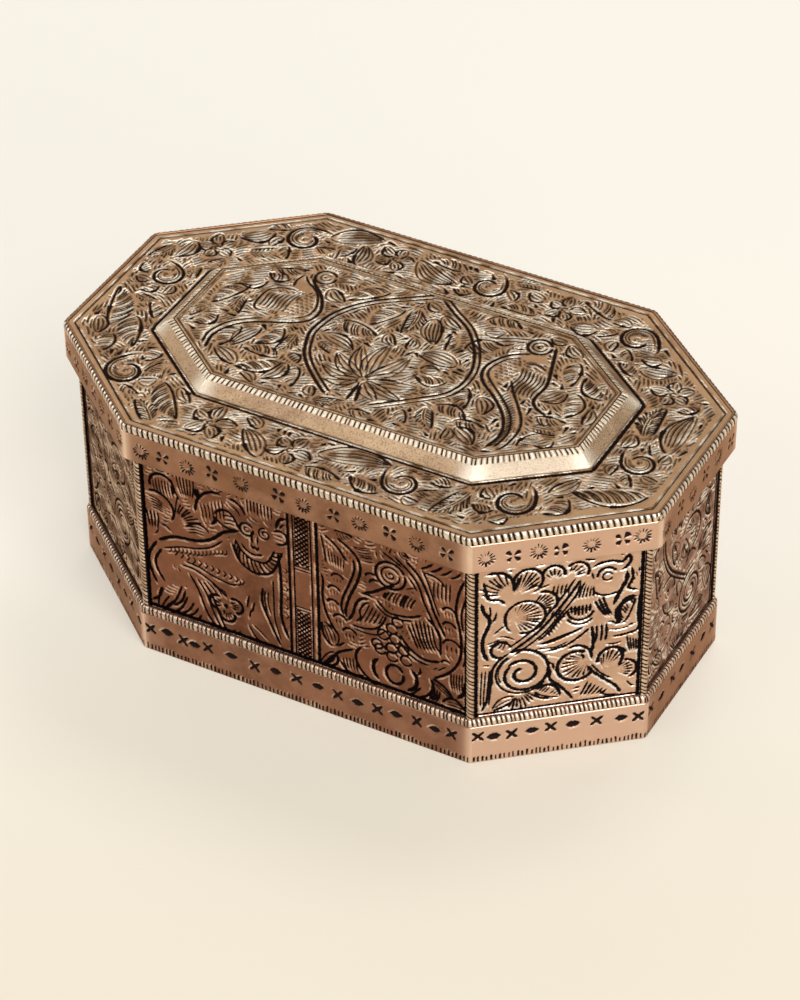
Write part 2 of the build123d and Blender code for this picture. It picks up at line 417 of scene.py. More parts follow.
def crossHatch(plate, x0, x1, y0, y1, spacing=1.7, width=0.64):
    for k in range(int((y1 - y0 + x1 - x0) / spacing) + 1):
        c = k * spacing - (x1 - x0)
        for flip in (False, True):
            pts = []
            for x in np.linspace(x0, x1, 8):
                y = y0 + c + (x1 - x if flip else x - x0)
                if y0 <= y <= y1:
                    pts.append((x + plate.pick.uniform(-0.05, 0.05), y))
            if len(pts) > 1:
                plate.cut(pts, width, 0.5, (0.3, 0.3))


def plume(plate, base, tip, width, bend, weight, marks):
    # an acanthus leaf: strokes sweep from the rib to the edge, with dark notches between its lobes
    last = 32
    length, t, spine, side = bowed(base, tip, bend, last + 1)
    half = 0.5 * width * np.sin(math.pi * (0.08 + 0.92 * t) ** 0.85) ** 0.7
    plate.swell(spine, half + 0.01, 0.2)
    n = max(3, int(length * 0.88 / marks))
    lobes = max(2, int(length / 3.4))
    for s in (1, -1):
        for k in range(n):
            i = int(last * 0.8 * k / n)
            j = min(last, i + last // 4)
            end = spine[j] + s * half[j] * 0.98 * side
            middle = spine[(i + j) // 2] + s * half[j] * 0.36 * side
            sweep = flow([spine[i] + s * 0.5 * side, middle, end])
            plate.cut(sweep, weight * plate.pick.uniform(0.7, 0.95), plate.hatch, (1.6, 0.8))
        for k in range(1, lobes):
            j = int(last * (0.16 + 0.74 * k / lobes))
            inner = spine[max(0, j - 4)] + s * half[j] * 0.5 * side
            plate.cut([inner, spine[j] + s * half[j] * 1.08 * side], weight * 1.25, 0.44, (1.9, 0.3))
    edge = spine + half[:, None] * side * (1 if bend < 0 else -1)
    plate.cut(edge[2:-1], weight * 1.2, 0.42, (2.6, 1.0))
    plate.cut(spine[:last - 6], weight * 0.9, 0.34, (0.8, 3.0))
    across = half[:, None] * side
    plate.kept |= plate.inside(np.concatenate([spine + across, (spine - across)[::-1]]))


def scroll(plate, centre, radius, start, turn, allowed, weight=0.9):
    # an acanthus curl: a doubled line winds into the eye and carries short strokes, with leaves behind it
    def edge(a, inward):
        sweep = 0.4 * (a / 60) ** 2 if a < 0 else 0
        return polar(centre, radius * (1 - a / 640 + sweep) - inward, start + turn * a)
    plate.cut(flow([edge(a, 0) for a in range(-60, 331, 15)]), weight * 1.35, 0.46, (5.0, 1.5))
    plate.cut(flow([edge(a, 1.3) for a in range(-50, 301, 15)]), weight * 0.75, 0.36, (4.0, 1.5))
    a = 14.0
    while a < 250:
        room = radius * (1 - a / 640)
        line = [edge(a, 1.95), polar(centre, 0.62 * room - 0.5, start + turn * (a + 16)),
                polar(centre, 0.34 * room, start + turn * (a + 34))]
        plate.cut(flow(line, 0.4), weight * plate.pick.uniform(0.6, 0.8), plate.hatch, (0.9, 0.8))
        a += math.degrees(plate.pitch / (0.75 * room))
    arc(plate, centre, 0.12 * radius, 0, 300, 0.6)
    body = np.array([edge(a, 0.22 * radius) for a in range(0, 300, 12)])
    plate.swell(body, np.linspace(0.3, 0.16, 25) * radius, 0.24)
    plate.kept |= plate.inside([edge(a, -0.2) for a in range(0, 331, 12)] + [centre])
    for k in range(6):
        a = start + turn * (8 + 44 * k)
        base = polar(centre, radius * (1.16 - 0.05 * k), a)
        tip = polar(centre, radius * (1.95 - 0.08 * k + 0.2 * (k % 2)), a + turn * 30)
        middle = polar(centre, radius * 1.5, a + turn * 14)
        if allowed(*tip) and allowed(*middle) and not plate.busy(np.array([middle, tip])).any():
            leaf(plate, base, tip, radius * 0.58, -0.15 * turn, ("along", "open")[k % 2], 0.85, plate.pitch)


def wedges(plate, allowed, tries, length=3.2):
    # single bold tapering cuts in the gaps
    for u, v in plate.spots(tries):
        a = plate.grainAt(u, v) + plate.pick.choice((0.6, -0.6, 2.2))
        d = np.array([math.cos(a), math.sin(a)])
        long = length * plate.pick.uniform(0.7, 1.4)
        path = np.array([u, v]) + np.arange(0, long, 0.3)[:, None] * d
        n = 0.45 * np.array([-d[1], d[0]])
        around = np.concatenate([path, path + n, path - n])
        if allowed(*path[0]) and allowed(*path[-1]) and not plate.busy(around).any():
            plate.cut(path, 1.3, 0.48, (long * 0.8, 0.3))


def growLeaves(plate, allowed, sizes, tries, kinds=("across", "along", "half", "open"), gap=0.22):
    pick = plate.pick
    lattice = np.array([(s, w) for s in np.linspace(0.02, 1.0, 8) for w in (-0.95, -0.5, 0, 0.5, 0.95)])
    for length, width in sizes:
        for u, v in plate.spots(tries):
            if plate.busy(np.array([[u, v]]))[0] or not allowed(u, v):
                continue
            a = plate.grainAt(u, v) + pick.uniform(-0.5, 0.5) + pick.choice((0, math.pi))
            long = length * pick.uniform(0.8, 1.2)
            wide = width * pick.uniform(0.85, 1.15)
            d = np.array([math.cos(a), math.sin(a)])
            n = np.array([-d[1], d[0]])
            half = (wide / 2 + gap) * np.sin(math.pi * np.clip(lattice[:, 0], 0.08, 0.92)) ** 0.7
            forward = (lattice[:, 0] * long)[:, None] * d
            pts = np.array([u, v]) + forward + (lattice[:, 1] * half)[:, None] * n
            tip = np.array([u, v]) + long * d
            if plate.busy(pts).any() or not allowed(*tip):
                continue
            kind = pick.choice(kinds)
            bend = pick.uniform(0.05, 0.16) * pick.choice((-1, 1))
            if kind == "plume":
                plume(plate, (u, v), tip, wide, bend, 0.78, plate.pitch)
            else:
                leaf(plate, (u, v), tip, wide, bend, kind, 0.85, plate.pitch)


def fillHatch(plate, allowed, tries, length, pitch, clear, width, least=1.3, count=3):
    # bundles of side-by-side strokes, each as long as the free room lets it be
    pick = plate.pick
    step = 0.3
    for u, v in plate.spots(tries):
        if not allowed(u, v) or plate.busy(np.array([[u, v]]))[0]:
            continue
        a = plate.grainAt(u, v) + pick.uniform(-0.35, 0.35)
        d = np.array([math.cos(a), math.sin(a)])
        n = np.array([-d[1], d[0]])
        long = length * pick.uniform(0.7, 1.2)
        bow = pick.uniform(-0.1, 0.1) * long
        t = np.arange(-long / 2, long / 2 + 0.01, step)
        middle = len(t) // 2
        todo = []
        for k in range(-count, count + 1):
            start = np.array([u, v]) + k * pitch * n + 0.35 * k * pitch * d
            path = start + t[:, None] * d + (bow * (1 - (2 * t / long) ** 2))[:, None] * n
            free = ~(plate.busy(path + clear * n) | plate.busy(path) | plate.busy(path - clear * n))
            if not free[middle] or not allowed(*path[middle]):
                if k < 0:
                    todo = []
                    continue
                if k > 0:
                    break
            lo = hi = middle
            while lo > 0 and free[lo - 1] and allowed(*path[lo - 1]):
                lo -= 1
            while hi < len(t) - 1 and free[hi + 1] and allowed(*path[hi + 1]):
                hi += 1
            if (hi - lo) * step >= least:
                todo.append(path[lo:hi + 1])
        for path in todo:
            plate.cut(path, width * pick.uniform(0.85, 1.15), plate.hatch, (len(path) * step * 0.45, 0.7))


# Meshes. A grid is laid flat in (u, v), its border is turned back for the sheet's thickness, and then
# numpy sets where each point goes.
def newObject(name, bm, materials):
    mesh = bpy.data.meshes.new(name)
    bm.to_mesh(mesh)
    bm.free()
    obj = bpy.data.objects.new(name, mesh)
    bpy.context.scene.collection.objects.link(obj)
    for m in materials:
        mesh.materials.append(m)
    return obj


def hang(obj, body, slotName, *nodes):
    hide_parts(*nodes)
    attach(obj, body)
    print("piece", obj.name, len(obj.data.polygons) * 2)


def readPoints(mesh):
    co = np.empty(len(mesh.vertices) * 3)
    mesh.vertices.foreach_get("co", co)
    return co.reshape(-1, 3)


def writePoints(mesh, co, cut, shine, lit=None):
    mesh.vertices.foreach_set("co", (co * mm).astype(np.float32).ravel())
    for name, value in (("cut", cut), ("shine", shine), ("lit", lit)):
        if value is not None:
            layer = mesh.attributes.new(name, "FLOAT", "POINT")
            layer.data.foreach_set("value", np.clip(value, 0, 1).astype(np.float32))
    mesh.update()


def turnBack(bm, thick):
    # folds the border back by the thickness and closes it; material 1 is the back
    border = [e for e in bm.edges if e.is_boundary]
    for e in border:
        e.smooth = False
    for f in bm.faces:
        f.smooth = True
    made = bmesh.ops.extrude_edge_only(bm, edges=border)["geom"]
    edges = [e for e in made if isinstance(e, bmesh.types.BMEdge)]
    for e in edges:
        e.smooth = False
    for v in made:
        if isinstance(v, bmesh.types.BMVert):
            v.co.z = -thick
    front = set(bm.faces)
    bmesh.ops.contextual_create(bm, geom=[e for e in edges if e.is_boundary])
    for f in set(bm.faces) - front:
        f.material_index = 1
        f.smooth = False
    bmesh.ops.recalc_face_normals(bm, faces=bm.faces)


def sheetGrid(name, columns, rows, thick, materials, trims=()):
    # the object, the u and v of its points, and which of them are on its front
    bm = bmesh.new()
    bmesh.ops.create_grid(bm, x_segments=len(columns) - 1, y_segments=len(rows) - 1, size=1)
    bm.verts.ensure_lookup_table()
    for i, v in enumerate(bm.verts):
        v.co = (columns[i % len(columns)], rows[i // len(columns)], 0)
    for point, normal in trims:
        bmesh.ops.bisect_plane(bm, geom=bm.verts[:] + bm.edges[:] + bm.faces[:], dist=1e-5,
                               plane_co=point, plane_no=normal, clear_outer=True)
    turnBack(bm, thick)
    obj = newObject(name, bm, materials)
    co = readPoints(obj.data)
    return obj, co[:, 0], co[:, 1], co[:, 2] > -thick / 2


def waves(u, v, seed, size, spans=(26, 60)):
    # the slight unevenness of hand-beaten sheet
    pick = random.Random(seed)
    total = np.zeros_like(u)
    for _ in range(5):
        a = pick.uniform(0, math.pi)
        k = 2 * math.pi / pick.uniform(*spans)
        total += np.sin(k * (u * math.cos(a) + v * math.sin(a)) + pick.uniform(0, 6))
    return size * (total / 5 - 1)


def carve(spec, plate, u, v, front):
    # height, darkness and shine of the engraved front over the grid; the back is plain
    height, dark, shine = plate.relief(u, v)
    height = spec["level"] + waves(u, v, spec["seed"], spec["wave"]) + height
    return np.where(front, height, -spec["thick"]), np.where(front, dark, 0), np.where(front, shine, 0)


def ringColumns(plan, spacing, arcSteps=5):
    out = []
    for side in range(8):
        n = max(4, int(sideFrame(plan, 0, side)[3] / spacing))
        out += [(side, 0, (k + 0.5) / n) for k in range(n)]
        out += [(side, 1, (k + 0.5) / arcSteps) for k in range(arcSteps)]
    return out


def ringPoint(plan, round0, inset, column):
    # the point of the rounded outline at this inset, its outward direction and its u on the side
    side, kind, t = column
    pts = corners(plan, inset)
    normals = [sideFrame(plan, 0, s)[2] for s in (side, (side + 1) % 8, (side - 1) % 8)]
    r = max(round0 - inset, 0.02)

    def centre(corner, n0, n1):
        half = math.acos(np.clip(np.dot(n0, n1), -1, 1)) / 2
        mid = (n0 + n1) / np.hypot(*(n0 + n1))
        return corner - mid * r / math.cos(half)

    end = centre(pts[(side + 1) % 8], normals[0], normals[1])
    out = normals[0]
    if kind == 1:
        out = (1 - t) * normals[0] + t * normals[1]
        out /= np.hypot(*out)
        p = end + out * r
    else:
        start = centre(pts[side], normals[2], normals[0])
        p = (start + out * r) * (1 - t) + (end + out * r) * t
    middle, along, _, _ = sideFrame(plan, 0, side)
    return p, out, float(np.dot(p - middle, along))


class Teeth:
    def __init__(self, pitch, slot, depth, seed, lean=0.0):
        pick = random.Random(seed)
        around = 640
        at = 0.0
        marks = []
        while at < around:
            shift = pick.uniform(-0.13, 0.13) * pitch
            marks.append((at + shift, slot * pick.uniform(0.75, 1.3), pick.uniform(0.75, 1.2)))
            at += pitch * pick.uniform(0.88, 1.12)
        self.at, self.slot, self.strong = np.array(marks).T
        self.pitch = pitch
        self.depth = depth
        self.lean = lean

    def read(self, s, v):
        # how far in, how dark and how near the crest between two notches
        s = s + self.lean * v
        i = np.clip(np.searchsorted(self.at, s), 1, len(self.at) - 1)
        i = np.where(np.abs(s - self.at[i - 1]) < np.abs(self.at[i] - s), i - 1, i)
        q = np.abs(s - self.at[i]) / (0.5 * self.slot[i])
        fall = np.clip(1.3 * (1 - q), 0, 1)
        t = np.clip(np.abs(s - self.at[i]) / (0.5 * self.pitch), 0, 1)
        deep = np.maximum(fall, (1 - t) ** 2) * self.strong[i] * self.depth
        return deep, fall, np.clip(1.6 * t - 0.5, 0, 1)


def ringPiece(name, spec, profile, plan, relief, material, shape=None):
    # profile rows: (inset, z, outward part, upward part of the surface direction, weight of the relief)
    columns = ringColumns(plan, spec["spacing"])
    nCol, nRow = len(columns), len(profile)
    bm = bmesh.new()
    bmesh.ops.create_grid(bm, x_segments=nCol, y_segments=nRow, size=1)
    bm.verts.ensure_lookup_table()
    for i, v in enumerate(bm.verts):
        v.co = (i % (nCol + 1) % nCol, i // (nCol + 1) % nRow, 0)
    bmesh.ops.remove_doubles(bm, verts=bm.verts, dist=0.01)
    for f in bm.faces:
        f.smooth = True
    obj = newObject(name, bm, (material,))
    col, row, _ = np.rint(readPoints(obj.data)).astype(int).T
    insets = sorted(set(p[0] for p in profile))
    hits = [[ringPoint(plan, spec["round"], d, c) for c in columns] for d in insets]
    pos, out, us = (np.array([[hit[k] for hit in line] for line in hits]) for k in range(3))
    steps = np.hypot(*(pos[0] - np.roll(pos[0], 1, axis=0)).T)
    steps[0] = 0
    run = np.cumsum(steps)[col]
    depth = np.array([insets.index(p[0]) for p in profile])[row]
    base, away, u = (grid[depth, col] for grid in (pos, out, us))
    z, rowOut, rowUp, weight = (np.array([p[k] for p in profile], float)[row] for k in (1, 2, 3, 4))
    side = np.array([c[0] for c in columns])[col]
    if shape:
        z = shape(side, u, z)
    lift, cut, shine, lit = relief(side, u, z, run, weight, away)
    lift = lift + waves(run, z, spec["seed"], spec["wave"]) * (weight > 0)
    co = np.column_stack([base + away * (lift * rowOut)[:, None], z + lift * rowUp])
    writePoints(obj.data, co, cut, shine, lit)
    fix = bmesh.new()
    fix.from_mesh(obj.data)
    bmesh.ops.recalc_face_normals(fix, faces=fix.faces)
    fix.to_mesh(obj.data)
    fix.free()
    return obj


# Front wall: a beast among leaves on the left, a bird over a vase of grapes on the right, a pilaster between.
def drawFront(p):
    p.style(bold=1.14, steep=0.7)
    for x in (-54.2, 54.2):
        p.cut([(x, 15), (x, 82)], 1.5, 0.5, (0.1, 0.1))
    for x, w in ((-4.6, 1.0), (-3.0, 0.8), (2.9, 0.8), (4.9, 1.1)):
        stroke(p, [(x, 16.5), (x + 0.15, 45), (x - 0.1, 80)], w, 0.4, (0.3, 0.3))
    crossHatch(p, -2.5, 2.4, 17, 35)
    crossHatch(p, -2.5, 2.4, 52, 80)
    for z in (35.3, 36.4, 50.8, 51.9):
        p.cut([(-2.7, z), (2.6, z + 0.1)], 0.7, 0.34, (0.2, 0.2))
    p.keep([(-5, 14), (5, 14), (5, 82), (-5, 82)])
    p.cut([(-54, 17), (54, 17)], 1.5, 0.5, (0.1, 0.1))
    drawBeast(p)
    drawBird(p)


def drawBeast(p):
    back = [(-50, 43.5), (-44, 47), (-36, 48.5), (-31, 51), (-27, 55), (-24.5, 56.5), (-21, 58)]
    under = [(-48.5, 41), (-42, 43.8), (-36, 45.5), (-31, 48), (-26.5, 52.5)]
    stroke(p, back, 1.15, 0.4)
    stroke(p, under, 0.85)
    strokes(p, (1.1, 0.4, -50, 43.5, -53, 38, -53.5, 34, -52.2, 29, -50.8, 26),
            (1.1, 0.4, -48.5, 41, -51, 36, -50.6, 32, -48, 27.5))
    for k in range(15):
        t = k / 14
        x = -46 + 19.5 * t
        z = 42 + 6.2 * t ** 1.3 + 0.3 * math.sin(9 * t)
        stroke(p, [(x + 0.5, z + 0.6), (x + 0.7, z - 0.9), (x - 0.7, z - 2.0)], 0.75, 0.3, (0.4, 0.8))
    for k in range(12):
        t = k / 11
        x = -44.5 + 23 * t
        z = 41.3 - 2.6 * t
        stroke(p, [(x + 0.2, z + 1.0), (x + 1.3, z - 0.2), (x + 0.1, z - 1.8)], 0.8, 0.32, (0.5, 0.6))
    strokes(p, (0.95, -41, 38.8, -36, 38.4, -31, 36.8, -25, 35.9, -22.2, 37),
            (0.95, -42.5, 37, -37.5, 36.8, -32, 34.5, -28.5, 32, -26.5, 29.8),
            (0.8, -21.8, 39.4, -21.6, 37.2, -23.4, 36), (0.9, -44.8, 36.8, -44.6, 35.4, -44, 34.2),
            (0.9, -43.2, 36.2, -43, 34.8, -42, 33.6))
    # head: ringed eyes, long nose, grin, hatched beard and ears
    ring(p, (-18.6, 59.5), 2.3, 0.95)
    ring(p, (-18.6, 59.5), 0.9, 0.6)
    spiral(p, (-12.5, 59.8), 2.4, 0.3, 1.7, 60, 0.85)
    strokes(p, (1.0, 0.4, -16.7, 60, -17, 57, -16.9, 54.2), (0.8, -14.9, 59, -15, 56.6, -15.2, 54.2),
            (0.9, -17.6, 55.2, -16.8, 53.2, -16, 53.9, -15.3, 52.9, -14.3, 55),
            (1.0, -21, 54.2, -19, 51.6, -16.2, 50.7, -12.8, 52))
    jaw = [(-23, 55), (-21, 51.2), (-18, 48.9), (-15.5, 48.5), (-12, 49.5), (-9, 55.5)]
    beard = [(-24, 52.8), (-21.5, 46.5), (-17.5, 43.9), (-14.5, 44), (-10.2, 46.6), (-6.4, 55.8)]
    stroke(p, jaw, 0.95)
    stroke(p, beard, 1.1, 0.4)
    between(p, jaw, beard, 1.4, 0.92, (0.0, 0.0), (0.3, 0.3), 0.04)
    strokes(p, (1.0, -21, 58, -22.8, 62.2, -25, 64, -27.6, 63.4, -30, 60.9),
            (0.9, -30.4, 60.8, -27, 58.2, -24, 57.4, -21.4, 58.2))
    for x, z in ((-24, 62.4), (-23.5, 60.9), (-24, 59.5)):
        stroke(p, [(x - 3.2, z - 0.8), (x, z), (x + 2, z - 0.4)], 0.7)
    stroke(p, [(-10, 61.8), (-7.5, 63), (-5.4, 62.2), (-5, 59.6), (-7, 58), (-9.6, 57.8)], 0.95)
    for z in (60.8, 59.4):
        stroke(p, [(-9.6, z), (-7.4, z + 0.2), (-5.8, z - 0.2)], 0.65)
    strokes(p, (1.1, -25, 68.8, -22.5, 68.8, -20, 67, -18.7, 64.2),
            (0.9, -24.4, 66.8, -21.8, 65.6, -20.2, 63))
    for k in range(8):
        x = -18 + 1.15 * k
        stroke(p, [(x, 80), (x - 0.1, 72), (x + 0.1, 65 + 0.8 * abs(math.sin(k)))], 0.75)
    strokes(p, (1.3, 0.4, -8.8, 63.2, -7.4, 67.2, -4.9, 68.6), (0.9, -7.6, 63.4, -6.4, 65.6, -5, 66.4))
    # legs and the flower under the belly
    strokes(p, (1.2, 0.42, -8.2, 55, -7.6, 47, -7.5, 40, -7.7, 30, -5.4, 22),
            (0.85, -10.2, 44, -10.2, 36, -10, 28, -8, 20),
            (1.1, 0.4, -13.8, 39.5, -14.2, 33, -11.4, 25.5, -8.2, 18.2))
    for x in (-13, -11.9):
        stroke(p, [(x, 39), (x - 0.3, 34), (x + 0.7, 29)], 0.8)
    for z in (48.5, 45, 41.5, 38, 34.5, 31):
        arc(p, (-6.2, z), 0.9, -120, 120, 0.6)
    for k, (x0, x1) in enumerate(((-39.6, -29.8), (-37, -28), (-35, -26.6))):
        stroke(p, [(x0, 35 - 0.6 * k), (x0 + 3.2, 29), (x0 + 6, 21), (x1, 15.5)], 0.95)
    comb(p, 3, (-34, 34.4, -31.4, 32, -29.6, 29.4), (2.1, -0.7, 2.1, 0, 1.6, 0), 0.8)
    for a in (20, 172, 272):
        eye, centre = (polar((-26.8, 26.6), far, a) for far in (0.9, 3.2))
        shell(p, eye, centre, 2.7, a - 112, a + 112, 6, 0.2, 1.15)
    arc(p, (-26.8, 26.6), 0.5, 0, 360, 1.1, 0.45)
    for x, z, h in ((-19.2, 31.5, 4), (-17.4, 30, 3.4), (-18.6, 27, 3)):
        stroke(p, [(x + 0.7, z + h * 0.8), (x, z), (x - 0.4, z - h * 0.8)], 0.95)
    strokes(p, (0.9, -19.5, 23, -17.5, 19, -14.5, 16.8, -11.6, 17),
            (0.85, -18.2, 23.4, -15, 21, -12.2, 18.4))
    for x in (-24.6, -22.8):
        stroke(p, [(x - 0.6, 16.4), (x + 0.9, 19)], 0.9)
    # grass on the left, and leaves above the back
    fan(p, (-52, 13), 52, 78, 4, 12, 3, 1.0)
    for a, b in (((-50, 15.5), (-42, 29)), ((-47.5, 15), (-40.2, 25.5)), ((-45, 16), (-38, 24)),
                 ((-43, 16.2), (-36.4, 22.6)), ((-40.6, 16.2), (-35.6, 20)), ((-53.8, 18.5), (-49, 26)),
                 ((-46, 19), (-41, 27.6))):
        middle = ((a[0] + b[0]) / 2 + 0.9, (a[1] + b[1]) / 2 - 0.8)
        stroke(p, [a, middle, b], 1.0)
    arc(p, (-47.3, 65.4), 4.2, -30, 200, 1.1)
    for k in range(7):
        x = -50.4 + 1.05 * k
        stroke(p, [(x, 68.6 - 0.12 * (k - 3) ** 2), (x + 0.2, 64.5), (x + 0.9, 61.4)], 0.7)
    upper = [(-52.8, 61.4), (-50.5, 62.4), (-47, 61.6), (-44.4, 59), (-43.6, 55.6), (-44.8, 52.6)]
    stroke(p, upper, 1.05)
    comb(p, 5, (-53, 60.2, -49.6, 59.6, -46.4, 58.2), (0.3, -1.1, 0, -0.95, 0, -0.8), 0.75)
    fan(p, (-43.6, 52.4), 20, 82, 3.4, 10, 8, 0.85)
    stroke(p, [(-36.2, 59.4), (-35.2, 64.4), (-32.4, 68), (-29.4, 69.4), (-26.6, 69.2)], 1.15, 0.4)
    comb(p, 7, (-34.4, 64, -33.6, 60.5, -33.4, 57), (1.25, 0.7, 1.2, 0.55, 1.2, 0.4), 0.7)
    stroke(p, [(-43.8, 69.5), (-43.2, 66), (-41.2, 61.4)], 0.9)
    comb(p, 6, (-42.4, 76, -41.8, 69, -40.4, 63.6), (1.15, 0, 1.1, 0, 0.7, 0), 0.75)
    comb(p, 3, (-36.6, 69.6, -36, 67, -35, 64.6), (0.8, 0, 0.7, 0, 0.5, 0), 0.9, 0.4)
    leafTop = [(-40.4, 52), (-36.4, 54.9), (-33.2, 54.6), (-31.2, 52.6)]
    stroke(p, leafTop, 0.95)
    for z in (53.8, 52.7, 51.6):
        stroke(p, [(-39.6, z - 1.2), (-36, z), (-32.8, z - 0.3)], 0.7)
    comb(p, 4, (-53.4, 55.2, -52.8, 51.5, -52.2, 47.5), (1.3, 0, 1.2, 0, 0.8, 0), 0.9)
    strokes(p, (0.9, -49, 50.4, -46.6, 50.2, -44.6, 48.4), (0.8, -49, 49, -50, 46.6, -51.4, 45.2),
            (1.4, 0.45, -31, 56.6, -29.4, 58.4, -29, 60.4), (1.3, 0.45, -27, 58.2, -26.6, 56.4))
    for zone in ([(-30.8, 61), (-26, 65), (-21, 63.6), (-20.6, 57.6), (-25, 56.8)],
                 [(-49, 40), (-45, 33), (-38, 34), (-41, 30), (-47.5, 28), (-50, 33)],
                 [(-24, 47), (-10.6, 46), (-10.6, 41), (-14.5, 40), (-20, 40.6), (-26, 42.6), (-38, 43.6),
                  (-27, 49.4)], [(-23, 56), (-21, 61), (-10, 62), (-8.6, 55.5), (-12, 50), (-20, 52)]):
        p.keep(zone)

    def leftField(u, v):
        return -53.4 < u < -6.2 and 17.6 < v < 80
    growLeaves(p, lambda u, v: leftField(u, v) and v > 69.6, ((8, 4), (6, 3)), 500)
    growLeaves(p, lambda u, v: leftField(u, v) and v > 50, ((6, 3.2), (4.5, 2.4)), 400)
    fillHatch(p, lambda u, v: leftField(u, v) and (v > 50 or (v < 34 and u < -40)), 900, 4, 1.3, 0.62, 0.7)
    fillHatch(p, lambda u, v: leftField(u, v) and v < 30 and u > -22, 120, 3, 1.4, 0.7, 0.8, 1.6)


